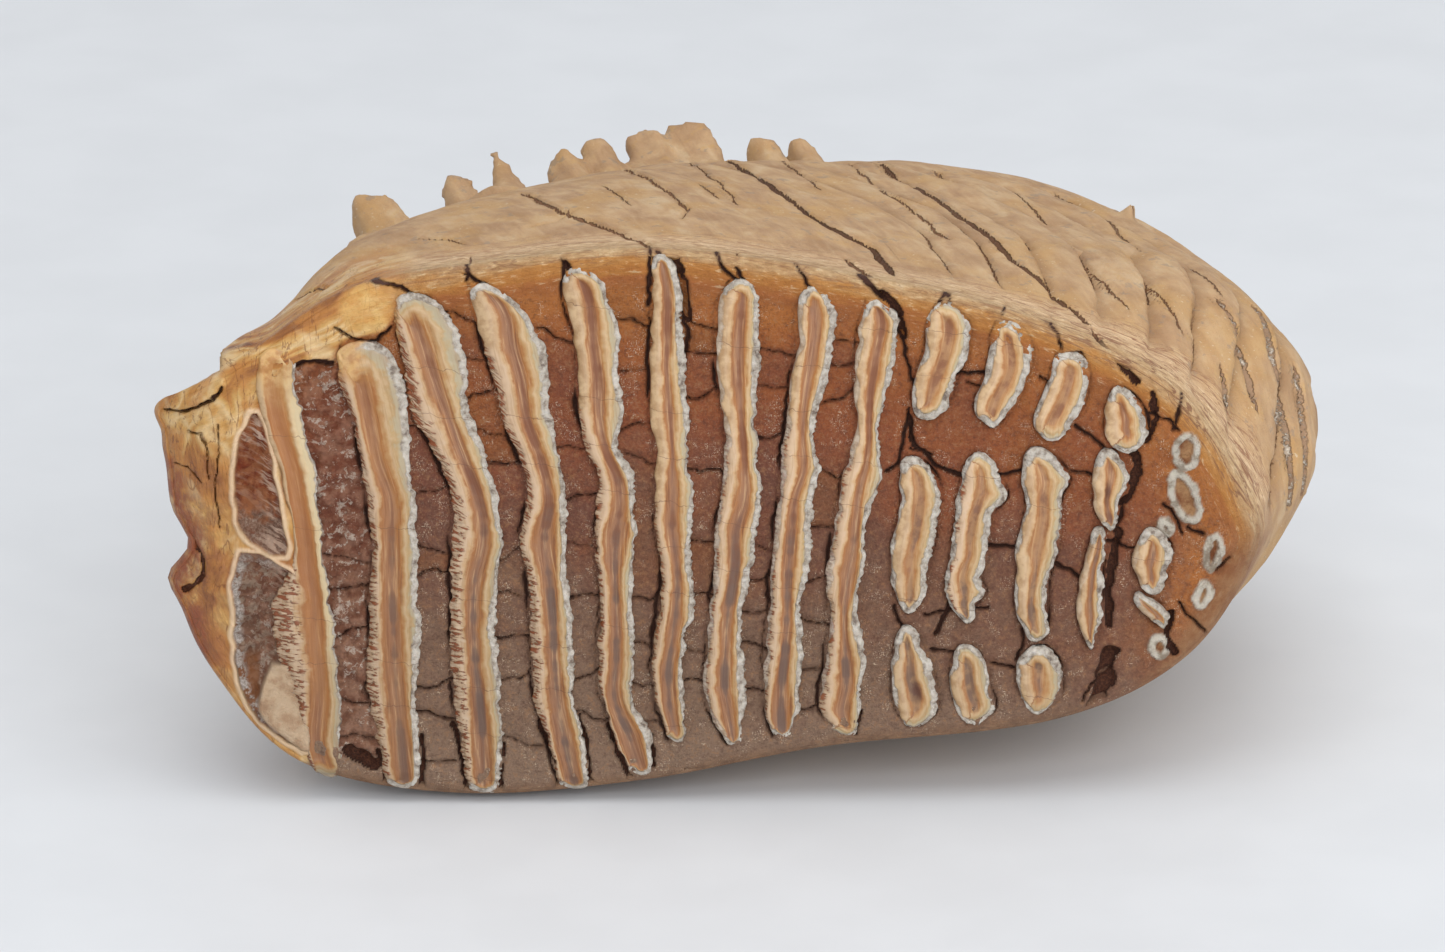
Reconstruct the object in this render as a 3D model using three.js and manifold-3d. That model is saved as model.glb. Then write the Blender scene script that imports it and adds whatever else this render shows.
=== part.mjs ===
// A fossil woolly mammoth molar. It lies on one long side with its worn chewing face forward.
// Every place is first given in the tooth's own directions, in millimetres:
//   along   from the front end of the chewing face to its back end, world +X
//   height  across the chewing face, from the side that the tooth lies on up to the other side
//   depth   from the plane of the chewing face down into the crown, towards the roots
import * as THREE from 'three';
import { LoftGeometry } from 'three/addons/geometries/LoftGeometry.js';
import { mergeVertices } from 'three/addons/utils/BufferGeometryUtils.js';
import Module from 'manifold-3d';

// How the tooth lies: the chewing face leans back from upright.
const FACE_LEAN = THREE.MathUtils.degToRad(6);
// Heights below were drawn as seen from above the face, so the real face is this much taller.
const HEIGHT_SCALE = 1.031;

// The chewing face is flat in the middle and falls away towards both ends.
const FRONT_FALL_START = 20;
const FRONT_FALL = 10;
const BACK_FALL_START = 150;
const BACK_FALL_LENGTH = 70;
const BACK_FALL = 9;

// Worn plates stand above the cement, and their dentine is dished between two enamel rims.
const CEMENT_SUNK = 1.8;
const PLATE_ROOTED = 5;
const DISH_SUNK = 0.9;
const RIM_SHARE = 0.3;
const PIT_SUNK = 2.6;
// What cuts pits and dishes starts clear of the face, and the front end stands a little lower.
const CUTTER_TOP = -2;
const FRONT_TOP = 0.2;

// Crown outlines at four depths, as [along, height], clockwise from the front tip as seen from the face.
const OUTLINE_STEPS = 4;
const CROWN_OUTLINES = [
  { depth: 3, points: [
    [1.6, 63], [0.8, 75.5], [17, 87.2], [40, 101.8], [70, 107], [99, 109.4], [135, 105],
    [172, 96.5], [203, 81], [219.5, 57], [220.5, 45], [207, 26], [181, 14.6], [135, 9.6],
    [97, 2.6], [60, 0], [29, 6], [12, 22.6], [4, 38],
  ] },
  { depth: 50, points: [
    [28, 62], [30, 82], [35, 97], [48, 105], [72, 109], [99, 110.5], [137, 106.5],
    [178, 100], [216, 90], [234.6, 69], [234, 50], [219, 30], [186, 12], [135, 3.4],
    [97, 3], [68, 4], [48, 11], [36, 24], [30, 42],
  ] },
  { depth: 100, points: [
    [64, 62], [64, 80], [69, 93], [80, 101], [95, 105], [112, 106.5], [142, 104],
    [178, 98.5], [208, 90], [228, 72], [229, 54], [211, 32], [182, 12], [140, 5.5],
    [112, 6.5], [92, 12], [77, 20], [68, 32], [65, 46],
  ] },
  { depth: 135, points: [
    [108, 62], [110, 77], [116, 88], [124, 94], [134, 98], [144, 99.5], [160, 99],
    [180, 96], [199, 88.5], [213, 73], [213, 56], [200, 36], [182, 24], [158, 18],
    [142, 18], [129, 22], [119, 30], [112, 40], [108, 50],
  ] },
];

// Rings of the chewing face from its middle out to the lip: share of the outline, and depth.
const FACE_MIDDLE = [110, 55];
const FACE_RINGS = [
  [0.03, CEMENT_SUNK - 0.1], [0.5, CEMENT_SUNK], [0.93, CEMENT_SUNK], [0.955, 0.4], [0.98, 0.2],
];
// The side goes back in these shares of the way from the first outline to the last.
const SIDE_SHARES = [0, 0.12, 0.25, 0.38, 0.5, 0.62, 0.75, 0.88, 1];
// Rings that close the base of the crown: share of the last outline, and depth.
const BASE_MIDDLE = [172, 62];
const BASE_RINGS = [[0.9, 143], [0.6, 150.5], [0.05, 153]];

// Worn plates that cross the whole face, as [height, front edge, back edge] from top to bottom.
const FULL_PLATES = [
  [[90, 38, 45], [84, 37.4, 49.4], [60, 42.2, 52], [40, 42.6, 52.6], [20, 42.4, 52], [4.4, 46, 51.4]],
  [[100.4, 49, 55.4], [92, 49, 61.4], [76, 52, 63.6], [60, 59.4, 68.6], [52, 59, 69.6],
    [36, 59, 68.2], [16, 59.8, 69.2], [3, 63.4, 68]],
  [[102.6, 63.4, 69], [90, 66, 78], [76, 69.6, 79.6], [60, 74.4, 82.6], [52, 73, 82.6],
    [28, 75.2, 83.6], [12, 78, 85.4], [3, 81.4, 86.2]],
  [[105, 82, 87.4], [92, 84, 93], [72, 86, 93], [64, 89, 96], [52, 88, 96.4],
    [36, 89, 96], [20, 89, 95.8], [6, 95.4, 99]],
  [[106, 99.8, 103.5], [94, 99.4, 105.8], [78, 99, 107], [62, 100, 107.6], [46, 101.2, 107.8],
    [28, 99.4, 106], [12, 103, 106]],
  [[103.6, 115, 120], [96, 112.6, 121.2], [80, 113, 120.6], [60, 113.4, 121.6], [46, 112, 119.2],
    [22, 109.8, 118.2], [10.8, 114.6, 117]],
  [[102, 130, 133.4], [94, 128.4, 136.2], [74, 126, 132.2], [62, 125, 132.6], [46, 123.4, 131.6],
    [24, 122, 129.8], [12.4, 124, 127.4]],
  [[99, 142.6, 146], [90, 140.4, 148.2], [76, 140.2, 144.8], [64, 137.6, 145.8], [44, 134.4, 141.6],
    [28, 134.2, 142.4], [17, 133.4, 141.4], [12.8, 137.4, 140]],
];

// Plates that have only just begun to wear show as islands, drawn the same way.
const ISLANDS = [
  [[98.6, 155.4, 159.8], [90, 153.8, 162.6], [80, 151.2, 159.2], [76.4, 152.6, 157]],
  [[68, 150.2, 153.4], [60, 149.2, 157.4], [48, 147.2, 155.4], [37.6, 149.6, 152.4]],
  [[33.8, 149.6, 151.4], [26, 147.6, 155.6], [17, 148.4, 156.8], [14.4, 150.6, 153.4]],
  [[96, 168.4, 171.4], [88, 167, 175.6], [80, 164, 173], [75, 166.2, 169.4]],
  [[68.6, 163.4, 166.4], [61, 160.6, 170.4], [41, 158.4, 166], [35.6, 161.6, 163.8]],
  [[30, 160.6, 164], [24, 159.4, 167.2], [18, 160.6, 168.4], [14.8, 162.6, 166]],
  [[88.6, 180.6, 183.8], [82, 178.2, 186.8], [76, 176, 184.6], [72.2, 178, 181]],
  [[69.6, 174.6, 178.4], [63, 173.6, 183], [38, 172.4, 179], [31.8, 175.4, 178.4]],
  [[29.8, 175, 179], [24, 172.8, 182], [17, 175.4, 178.8]],
  [[84, 191.6, 194], [76, 190, 198.8], [70.4, 192.4, 197]],
  [[69.4, 189.2, 192.4], [63, 187.8, 195], [55, 190, 193]],
  [[53.4, 188, 190.8], [46, 186, 190.2], [36, 185, 190.2], [30.6, 186.6, 189.2]],
  [[73.8, 205.4, 207.8], [69.8, 203.4, 209.8], [65.8, 206, 208.4]],
  [[65.4, 202.8, 205], [59, 202.8, 209.4], [53, 207, 209]],
  [[53.4, 198.8, 201.6], [47.4, 196, 204], [41.6, 198.6, 201]],
];

// The front end is one raised mass of dentine and enamel, up to the back edge of the first plate.
const FRONT_MASS = [
  [4, 76], [18, 85.5], [27.6, 87], [30, 76], [32.6, 60], [33.4, 48], [35.4, 30],
  [37.2, 12], [37.4, 6.4], [29.4, 9.4], [14.6, 25], [8, 46], [5, 62],
];
// Two pockets of crumbly cement are sunk in the front end.
const FRONT_PITS = [
  [[77.4, 19.4, 20.8], [68, 15.8, 23.6], [54, 17.6, 25.6], [49, 22.4, 25.6]],
  [[48, 16.4, 20.8], [36, 15.4, 27.4], [24, 16.4, 27.2], [16, 20.8, 26.6]],
];

// Grooves between the plates' edges on both long sides, by where they meet the face.
const UPPER_GROOVES = [104, 118, 130, 141, 151, 160, 169, 178, 187, 196, 204, 212];
const LOWER_GROOVES = [130, 154, 178, 202];
const GROOVE_FIRST_DEPTH = 12;
const GROOVE_LAST_DEPTH = 128;
const GROOVE_STEPS = 4;
const GROOVE_HALF_WIDTH = 1;
const GROOVE_SUNK = 1.9;
// A groove fades in over one share of its length and is shallower at its end, after another share.
const GROOVE_FADE_IN = 0.17;
const GROOVE_FADE_OUT = 0.33;
const GROOVE_END_SHARE = 0.3;
// Plates curve towards the front end as they go deeper, and the last ones bulge backwards first.
const PLATE_CURVE = 0.0043;
const LEAN_START = 150;
const LEAN_RATE = 0.0062;

// Roots as [along, height, depth] at the crown and at the tip, with half widths along and across.
const ROOT_SIDES = 7;
const ROOT_STEPS = 3;
const ROOT_BEND = 2.5;
const ROOT_TAPER_POWER = 0.8;
const ROOTS = [
  { from: [46.5, 91, 62], tip: [39.5, 96.5, 96], half: [9, 7.5], tipShare: 0.5 },
  { from: [61, 93, 74], tip: [57, 98.5, 107], half: [6, 5.5], tipShare: 0.5 },
  { from: [71, 94, 82], tip: [65, 101.5, 121], half: [7.5, 6.5], tipShare: 0.35 },
  { from: [81, 95, 90], tip: [79.5, 100.5, 121], half: [5.5, 5.5], tipShare: 0.55 },
  { from: [89, 95, 96], tip: [86, 102.5, 129], half: [6, 6], tipShare: 0.45 },
  { from: [99, 96, 102], tip: [96.5, 102, 136], half: [6.5, 6.5], tipShare: 0.65 },
  { from: [108, 96, 108], tip: [105.5, 102.5, 137], half: [7, 6.5], tipShare: 0.7 },
  { from: [124, 95, 118], tip: [122, 100, 140], half: [5.5, 5.5], tipShare: 0.6 },
  { from: [132, 95, 124], tip: [130, 98.5, 142], half: [5.5, 5.5], tipShare: 0.6 },
  { from: [50, 40, 62], tip: [42, 36, 98], half: [11, 13], tipShare: 0.5 },
  { from: [68, 27, 80], tip: [62, 24, 114], half: [9, 8], tipShare: 0.5 },
  { from: [84, 25, 92], tip: [80, 26, 120], half: [8, 7.5], tipShare: 0.55 },
  { from: [100, 24, 102], tip: [97, 26, 130], half: [7.5, 7.5], tipShare: 0.6 },
  { from: [116, 24, 112], tip: [113, 27, 136], half: [7.5, 7], tipShare: 0.6 },
  { from: [64, 66, 78], tip: [58, 67, 106], half: [8, 10], tipShare: 0.6 },
  { from: [90, 60, 98], tip: [87, 60, 120], half: [7.5, 10], tipShare: 0.6 },
];

const fossil = new THREE.MeshStandardMaterial({ color: 0xb98a5c, roughness: 0.55, metalness: 0 });

const faceDepth = (along) => {
  const front = Math.max(0, (FRONT_FALL_START - along) / FRONT_FALL_START);
  const back = Math.max(0, (along - BACK_FALL_START) / BACK_FALL_LENGTH);
  return FRONT_FALL * front ** 2 + BACK_FALL * back ** 2;
};

// A place in the tooth's own directions, as a point in the world.
const place = (along, height, depth) => {
  const across = height * HEIGHT_SCALE;
  return new THREE.Vector3(
    along,
    across * Math.sin(FACE_LEAN) + depth * Math.cos(FACE_LEAN),
    across * Math.cos(FACE_LEAN) - depth * Math.sin(FACE_LEAN),
  );
};

// Four outlines as smooth closed curves, sampled at the same places, and a curve back through each.
const outlineCurves = CROWN_OUTLINES.map(({ depth, points }) => new THREE.CatmullRomCurve3(
  points.map(([along, height]) => new THREE.Vector3(along, height, depth)), true, 'catmullrom', 0.5,
));
const ringCount = CROWN_OUTLINES[0].points.length * OUTLINE_STEPS;
const backCurves = Array.from({ length: ringCount }, (_, i) => new THREE.CatmullRomCurve3(
  outlineCurves.map((curve) => curve.getPoint(i / ringCount)), false, 'catmullrom', 0.5,
));
const sideRing = (share) => backCurves.map((curve) => curve.getPoint(share));

// The face's fall at the ends fades out as the side goes back.
const FALL_FADES_BY = 60;
const sidePlace = ({ x, y, z }) => {
  const fade = Math.max(0, 1 - z / FALL_FADES_BY);
  return place(x, y, z + faceDepth(x) * fade);
};

const shrunkRing = (ring, [along, height], share, depth, follow) => ring.map(({ x, y }) => {
  const ringAlong = along + (x - along) * share;
  const ringHeight = height + (y - height) * share;
  return place(ringAlong, ringHeight, depth + (follow ? faceDepth(ringAlong) : 0));
});

const crownSections = () => [
  ...FACE_RINGS.map(([share, depth]) => shrunkRing(sideRing(0), FACE_MIDDLE, share, depth, true)),
  ...SIDE_SHARES.map((share) => sideRing(share).map(sidePlace)),
  ...BASE_RINGS.map(([share, depth]) => shrunkRing(sideRing(1), BASE_MIDDLE, share, depth, false)),
];

// The outline of a plate, or of the dish between its enamel rims where a rim share is given.
const plateOutline = (stations, rim = 0) => {
  const part = rim > 0 ? stations.slice(1, -1) : stations;
  const fronts = part.map(([height, front, back]) => [front + (back - front) * rim, height]);
  const backs = part.map(([height, front, back]) => [back - (back - front) * rim, height]);
  return [...fronts, ...backs.reverse()];
};

// A solid with a given outline on the face, from one depth to another below the face's surface.
const facePrism = (outline, top, bottom) => {
  const shape = new THREE.Shape(outline.map(([along, height]) => new THREE.Vector2(along, height)));
  const geometry = new THREE.ExtrudeGeometry(shape, { depth: 1, bevelEnabled: false });
  const position = geometry.getAttribute('position');
  for (let i = 0; i < position.count; i += 1) {
    const along = position.getX(i);
    const level = position.getZ(i) > 0.5 ? top : bottom;
    const spot = place(along, position.getY(i), faceDepth(along) + level);
    position.setXYZ(i, spot.x, spot.y, spot.z);
  }
  return geometry;
};

// How far a plate's edge has moved along the tooth at a depth.
const plateLean = (start, depth) => (
  Math.max(0, start - LEAN_START) * LEAN_RATE * depth - PLATE_CURVE * depth ** 2
);

// The side's height at a place along and a depth, on the upper side or the side it lies on.
// The share of the way back that reaches the depth is found by halving. Past the crown it is null.
const HALVINGS = 20;
const sideHeight = (along, depth, upper) => {
  let low = 0;
  let high = 1;
  for (let i = 0; i < HALVINGS; i += 1) {
    const share = (low + high) / 2;
    if (backCurves[0].getPoint(share).z < depth) low = share;
    else high = share;
  }
  const ring = sideRing((low + high) / 2);
  const crossings = ring.flatMap((point, i) => {
    const next = ring[(i + 1) % ring.length];
    if ((point.x - along) * (next.x - along) > 0 || point.x === next.x) return [];
    const share = (along - point.x) / (next.x - point.x);
    return [point.y + (next.y - point.y) * share];
  });
  if (crossings.length === 0) return null;
  return upper ? Math.max(...crossings) : Math.min(...crossings);
};

// A groove is a long wedge that follows one plate's edge round the side.
const grooveWedge = (start, upper) => {
  const outward = upper ? 1 : -1;
  const sections = [];
  for (let i = 0; i <= GROOVE_STEPS; i += 1) {
    const share = i / GROOVE_STEPS;
    const depth = GROOVE_FIRST_DEPTH + (GROOVE_LAST_DEPTH - GROOVE_FIRST_DEPTH) * share;
    const along = start + plateLean(start, depth);
    const height = sideHeight(along, depth, upper);
    if (height === null) break;
    const fadeIn = share / GROOVE_FADE_IN;
    const fadeOut = GROOVE_END_SHARE + (1 - share) / GROOVE_FADE_OUT;
    const bite = GROOVE_SUNK * Math.min(1, fadeIn, fadeOut);
    const section = [
      place(along, height - bite * outward, depth),
      place(along - GROOVE_HALF_WIDTH, height + GROOVE_SUNK * outward, depth),
      place(along + GROOVE_HALF_WIDTH, height + GROOVE_SUNK * outward, depth),
    ];
    sections.push(upper ? section : section.reverse());
  }
  return new LoftGeometry(sections, { capStart: true, capEnd: true });
};

// A root tapers from the crown to a blunt tip and bends a little on the way.
const rootProng = ({ from, tip, half, tipShare }) => {
  const sections = [];
  for (let i = 0; i <= ROOT_STEPS; i += 1) {
    const share = i / ROOT_STEPS;
    const centre = from.map((value, k) => value + (tip[k] - value) * share);
    const bend = ROOT_BEND * Math.sin(Math.PI * share);
    const width = 1 + (tipShare - 1) * share ** ROOT_TAPER_POWER;
    const section = [];
    for (let k = 0; k < ROOT_SIDES; k += 1) {
      const angle = (2 * Math.PI * k) / ROOT_SIDES;
      section.push(place(
        centre[0] + bend + half[0] * width * Math.cos(angle),
        centre[1] - bend + half[1] * width * Math.sin(angle),
        centre[2],
      ));
    }
    sections.push(section.reverse());
  }
  return new LoftGeometry(sections, { capStart: true, capEnd: true });
};

const wasm = await Module();
wasm.setup();

// A closed geometry as a solid: shared corners are merged and collapsed triangles dropped.
const MERGE_WITHIN = 1e-3;
const toSolid = (geometry) => {
  const bare = geometry.index ? geometry.toNonIndexed() : geometry.clone();
  bare.deleteAttribute('normal');
  bare.deleteAttribute('uv');
  const merged = mergeVertices(bare, MERGE_WITHIN);
  const corners = [];
  const { array } = merged.index;
  for (let i = 0; i < array.length; i += 3) {
    const [a, b, c] = [array[i], array[i + 1], array[i + 2]];
    if (a !== b && b !== c && c !== a) corners.push(a, b, c);
  }
  return new wasm.Manifold(new wasm.Mesh({
    numProp: 3,
    vertProperties: new Float32Array(merged.attributes.position.array),
    triVerts: new Uint32Array(corners),
  }));
};

const toGeometry = (solid) => {
  const mesh = solid.getMesh();
  const geometry = new THREE.BufferGeometry();
  geometry.setAttribute('position', new THREE.BufferAttribute(mesh.vertProperties, 3));
  geometry.setIndex(new THREE.BufferAttribute(mesh.triVerts, 1));
  const facets = geometry.toNonIndexed();
  facets.computeVertexNormals();
  return facets;
};

// The side that the tooth lies on is worn flat at this level.
const REST_LEVEL = -1.6;
const REST_BLOCK = 600;

const buildMolar = () => {
  let molar = toSolid(new LoftGeometry(crownSections(), { capStart: true, capEnd: true }));
  const join = (geometry) => { molar = molar.add(toSolid(geometry)); };
  const cut = (geometry) => { molar = molar.subtract(toSolid(geometry)); };
  join(facePrism(FRONT_MASS, FRONT_TOP, PLATE_ROOTED));
  for (const stations of [...FULL_PLATES, ...ISLANDS]) {
    join(facePrism(plateOutline(stations), 0, PLATE_ROOTED));
  }
  for (const root of ROOTS) join(rootProng(root));
  for (const stations of FRONT_PITS) cut(facePrism(plateOutline(stations), CUTTER_TOP, PIT_SUNK));
  for (const stations of FULL_PLATES) {
    cut(facePrism(plateOutline(stations, RIM_SHARE), CUTTER_TOP, DISH_SUNK));
  }
  for (const start of UPPER_GROOVES) cut(grooveWedge(start, true));
  for (const start of LOWER_GROOVES) cut(grooveWedge(start, false));
  const block = new THREE.BoxGeometry(REST_BLOCK, REST_BLOCK, REST_BLOCK);
  block.translate(0, 0, REST_LEVEL - REST_BLOCK / 2);
  cut(block);
  return molar;
};

const molarGeometry = toGeometry(buildMolar());
molarGeometry.computeBoundingBox();
const { min, max } = molarGeometry.boundingBox;

const molar = new THREE.Mesh(molarGeometry, fossil);
molar.name = 'molar';
molar.position.set(-(min.x + max.x) / 2, -(min.y + max.y) / 2, -min.z);

const tooth = new THREE.Group();
tooth.add(molar);

export default tooth;
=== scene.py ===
"""A fossil woolly mammoth molar, lying on one long side with its worn chewing face forward.

Places on the tooth are first given in its own directions, in millimetres: along the chewing
face from its front end, height across the face, and depth from the face towards the roots.
"""

import itertools
import math

import bpy
import numpy as np
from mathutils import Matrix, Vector


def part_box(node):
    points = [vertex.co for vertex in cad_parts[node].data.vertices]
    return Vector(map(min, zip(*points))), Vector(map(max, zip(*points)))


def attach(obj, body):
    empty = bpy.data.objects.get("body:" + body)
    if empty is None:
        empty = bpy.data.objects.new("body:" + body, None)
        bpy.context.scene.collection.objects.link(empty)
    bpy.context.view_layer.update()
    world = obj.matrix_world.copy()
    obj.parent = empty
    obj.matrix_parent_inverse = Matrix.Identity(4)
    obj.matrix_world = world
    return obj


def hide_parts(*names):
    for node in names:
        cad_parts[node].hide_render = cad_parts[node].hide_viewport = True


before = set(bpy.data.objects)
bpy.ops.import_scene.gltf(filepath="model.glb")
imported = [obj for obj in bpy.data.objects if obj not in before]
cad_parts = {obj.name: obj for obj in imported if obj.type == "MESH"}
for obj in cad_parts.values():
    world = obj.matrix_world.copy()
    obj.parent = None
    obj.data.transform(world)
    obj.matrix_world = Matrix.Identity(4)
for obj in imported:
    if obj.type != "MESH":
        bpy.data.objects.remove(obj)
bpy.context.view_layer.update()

MM = 0.001

# How the tooth lies, and where its own directions start in the frame.
FACE_LEAN = math.radians(6)
HEIGHT_SCALE = 1.031
CAD_LOW = np.array([-0.23, 0.31, -1.6])
CAD_OFFSET = np.array(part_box("molar")[0]) / MM - CAD_LOW

# The chewing face falls away towards both ends, and its edge rolls over into the sides.
FRONT_FALL_START = 20
FRONT_FALL = 10
BACK_FALL_START = 150
BACK_FALL_LENGTH = 70
BACK_FALL = 9
FALL_FADES_BY = 60
EDGE_DEPTH = 3
LIP_WIDTH = 4.5
LIP_TOP = 0.5
CEMENT_SUNK = 1.7
CEMENT_FROM = 11

# Crown outlines at four depths, as (along, height), clockwise from the front tip.
OUTLINES = (
    (3, (
        (1.6, 63), (0.8, 75.5), (17, 87.2), (40, 101.8), (70, 107), (99, 109.4), (135, 105),
        (172, 96.5), (203, 81), (219.5, 57), (220.5, 45), (207, 26), (181, 14.6), (135, 9.6),
        (97, 2.6), (60, 0), (29, 6), (12, 22.6), (4, 38),
    )),
    (50, (
        (28, 62), (30, 82), (35, 97), (48, 105), (72, 109), (99, 110.5), (137, 106.5),
        (178, 100), (216, 90), (234.6, 69), (234, 50), (219, 30), (186, 12), (135, 3.4),
        (97, 3), (68, 4), (48, 11), (36, 24), (30, 42),
    )),
    (100, (
        (64, 62), (64, 80), (69, 93), (80, 101), (95, 105), (112, 106.5), (142, 104),
        (178, 98.5), (208, 90), (228, 72), (229, 54), (211, 32), (182, 12), (140, 5.5),
        (112, 6.5), (92, 12), (77, 20), (68, 32), (65, 46),
    )),
    (135, (
        (108, 62), (110, 77), (116, 88), (124, 94), (134, 98), (144, 99.5), (160, 99),
        (180, 96), (199, 88.5), (213, 73), (213, 56), (200, 36), (182, 24), (158, 18),
        (142, 18), (129, 22), (119, 30), (112, 40), (108, 50),
    )),
)
FACE_MIDDLE = np.array([110, 55])
BASE_MIDDLE = np.array([172, 62])
BASE_DOME = 18

# Worn plates from front to back, as (height, left edge, dentine from, dentine to, right edge).
PLATES = (
    (
        (89.6, 21.4, 22.6, 25.8, 27.4), (83, 20.6, 22.2, 25.6, 28.6), (76, 21.8, 23, 26.6, 29.8),
        (67, 24.4, 25.8, 28.8, 32.2), (60, 26, 27, 30.2, 32.8), (52, 27.4, 28.2, 31.6, 33.4),
        (46, 26.6, 28.6, 32.2, 33.8), (40, 23.6, 29.6, 33, 34.8), (28, 24.2, 30.6, 33.6, 36),
        (20.4, 27, 30.6, 34.2, 36.6), (10.2, 29, 30.2, 33.6, 37), (3.6, 31.8, 32.6, 35.4, 37.6),
    ),
    (
        (90.8, 37.6, 39, 40.6, 46.2), (84, 37, 40, 43, 49.6), (76, 39.6, 41.4, 45, 51),
        (68, 41, 43.4, 46, 51.4), (60, 42.2, 45.4, 48.6, 52), (52, 43.4, 45.4, 49, 52.6),
        (40, 42.6, 45.4, 49, 52.6), (30, 42.2, 45.6, 49.2, 52.6), (20, 42.4, 46, 50, 52),
        (12, 43.8, 46.6, 50.6, 52.2), (1.6, 46.6, 48, 50.2, 51.8),
    ),
    (
        (100.6, 49.2, 50.2, 52.6, 55), (92, 49, 52, 55.6, 61.4), (84, 50.6, 54.6, 57.6, 62.6),
        (76, 52, 57.6, 60, 63.6), (68, 56.6, 60.4, 63, 66.4), (60, 59.4, 63.4, 66, 68.6),
        (52, 59, 64.2, 67, 69.6), (44, 59, 62.4, 65.6, 68.6), (36, 59, 62.2, 65, 68.2),
        (28, 59, 62.6, 65, 68.6), (20, 59.4, 63, 66, 69), (12, 60.6, 63, 67, 69.4),
        (0.6, 62.6, 64.2, 67, 68.4),
    ),
    (
        (102.8, 63.6, 65, 67, 68.8), (98, 64, 69, 71.4, 74), (90, 66, 70, 73.4, 78),
        (84, 68, 72, 74.6, 79), (76, 69.6, 73.4, 75.6, 79.6), (68, 73, 76, 78.4, 81.4),
        (60, 74.4, 77.6, 80, 82.6), (52, 73, 75.4, 80.2, 82.6), (44, 74.4, 77.2, 80.2, 82.4),
        (36, 75, 78.2, 80.6, 83.4), (28, 75.2, 78.4, 81, 83.6), (20, 75.4, 78.4, 82, 83.6),
        (12, 78, 79.4, 83.6, 85.4), (1.2, 81, 82.4, 85.4, 86.8),
    ),
    (
        (105.8, 82.4, 83.8, 85.8, 87.6), (100, 82.2, 86, 88, 91), (92, 84, 86.6, 89, 93),
        (84, 84.6, 87.4, 90, 93.2), (76, 85, 88, 90, 93.4), (70, 86.4, 89.4, 91, 92.6),
        (64, 89, 91.4, 94, 96), (60, 88.6, 91.8, 94.4, 96), (52, 88, 89.6, 94.6, 96.4),
        (44, 88.6, 90.6, 93, 95.6), (36, 89, 90.8, 93.4, 96), (28, 88.4, 90.8, 93.4, 96),
        (20, 89, 90.2, 93.4, 95.8), (12, 92, 92.6, 97, 99), (4.4, 95.4, 96.4, 98.4, 99.4),
    ),
    (
        (108.2, 100.4, 101, 101.8, 102.4), (102, 99.6, 101.6, 103.4, 105.2),
        (94, 99.4, 101.6, 103.6, 105.8), (86, 99, 101.8, 103, 106.4), (78, 99, 102, 104, 107),
        (70, 100.2, 103, 104, 106.6), (62, 100, 102.4, 105, 107.6), (54, 100, 102, 105, 107.6),
        (46, 101.2, 103.4, 105.4, 107.8), (38, 101, 103, 105.6, 108), (32, 100, 102, 105, 106.2),
        (24, 99.4, 101, 104.2, 106), (18, 100.4, 101.6, 104.4, 106.2), (11.4, 103.2, 104, 105, 105.8),
    ),
    (
        (103.4, 115.2, 116.4, 118.2, 119.8), (100, 113, 116.4, 118.4, 121.2), (92, 112.4, 115.6, 118, 121.2),
        (84, 112.6, 115.6, 118, 120.8), (76, 113.8, 116.6, 118, 120.2), (68, 114, 117.2, 118.6, 121),
        (60, 113.4, 116.4, 119.4, 121.6), (54, 112.2, 114.8, 118, 121), (46, 112, 115, 117, 119.2),
        (38, 111.2, 113.6, 116, 118), (30, 110.6, 113, 115.4, 118), (22, 109.8, 112.4, 115.6, 118.2),
        (16, 111.4, 113.4, 116.4, 118), (10.6, 114.8, 115.4, 116.2, 116.8),
    ),
    (
        (102, 130.2, 131, 132.4, 133.2), (98, 128.2, 130.6, 133.4, 136.2), (90, 128.6, 130.2, 133, 136),
        (82, 127, 129.4, 131.4, 134.2), (74, 126, 129, 130.2, 132.2), (66, 125.4, 129, 130.6, 133),
        (60, 124.8, 127, 129, 132), (54, 124, 126.2, 128.6, 131.6), (46, 123.4, 125.6, 128, 131.6),
        (40, 123.2, 125.6, 127.6, 129.8), (32, 122.4, 125.4, 127.4, 129.6), (24, 122, 124.4, 127, 129.8),
        (18, 122, 123.4, 127.4, 129), (12.2, 124.2, 125, 126.4, 127.2),
    ),
    (
        (99.6, 142.6, 143.4, 144.6, 145.4), (96, 141, 143.8, 146.6, 148.6), (90, 140.4, 143.2, 145.6, 148.2),
        (82, 139.8, 142.2, 144.2, 146.8), (76, 140.4, 142.4, 143.4, 144.8), (70, 139.4, 142.2, 143.4, 145),
        (64, 137.6, 140.6, 142.6, 145.8), (58, 136.6, 139.6, 141.4, 143.4), (52, 135.6, 138.8, 141, 142.6),
        (44, 134.4, 137.2, 140.4, 141.6), (36, 135, 137.4, 138.6, 141), (28, 134.2, 137.2, 139.6, 142.4),
        (22, 133.6, 137, 140, 141.2), (17, 133.4, 136.2, 139.2, 141.4), (12.6, 137.6, 138.2, 139.2, 139.8),
    ),
)
# How strongly each plate's left flank is combed, from a fringe of fine teeth to a smooth flank.
COMBED = (1, 0.8, 1, 0.8, 0.6, 0.45, 0.5, 0.55, 0.5)
# How high each comb reaches.
COMB_TOPS = (49, 86, 104, 90, 78, 60, 74, 76, 70)

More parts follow.
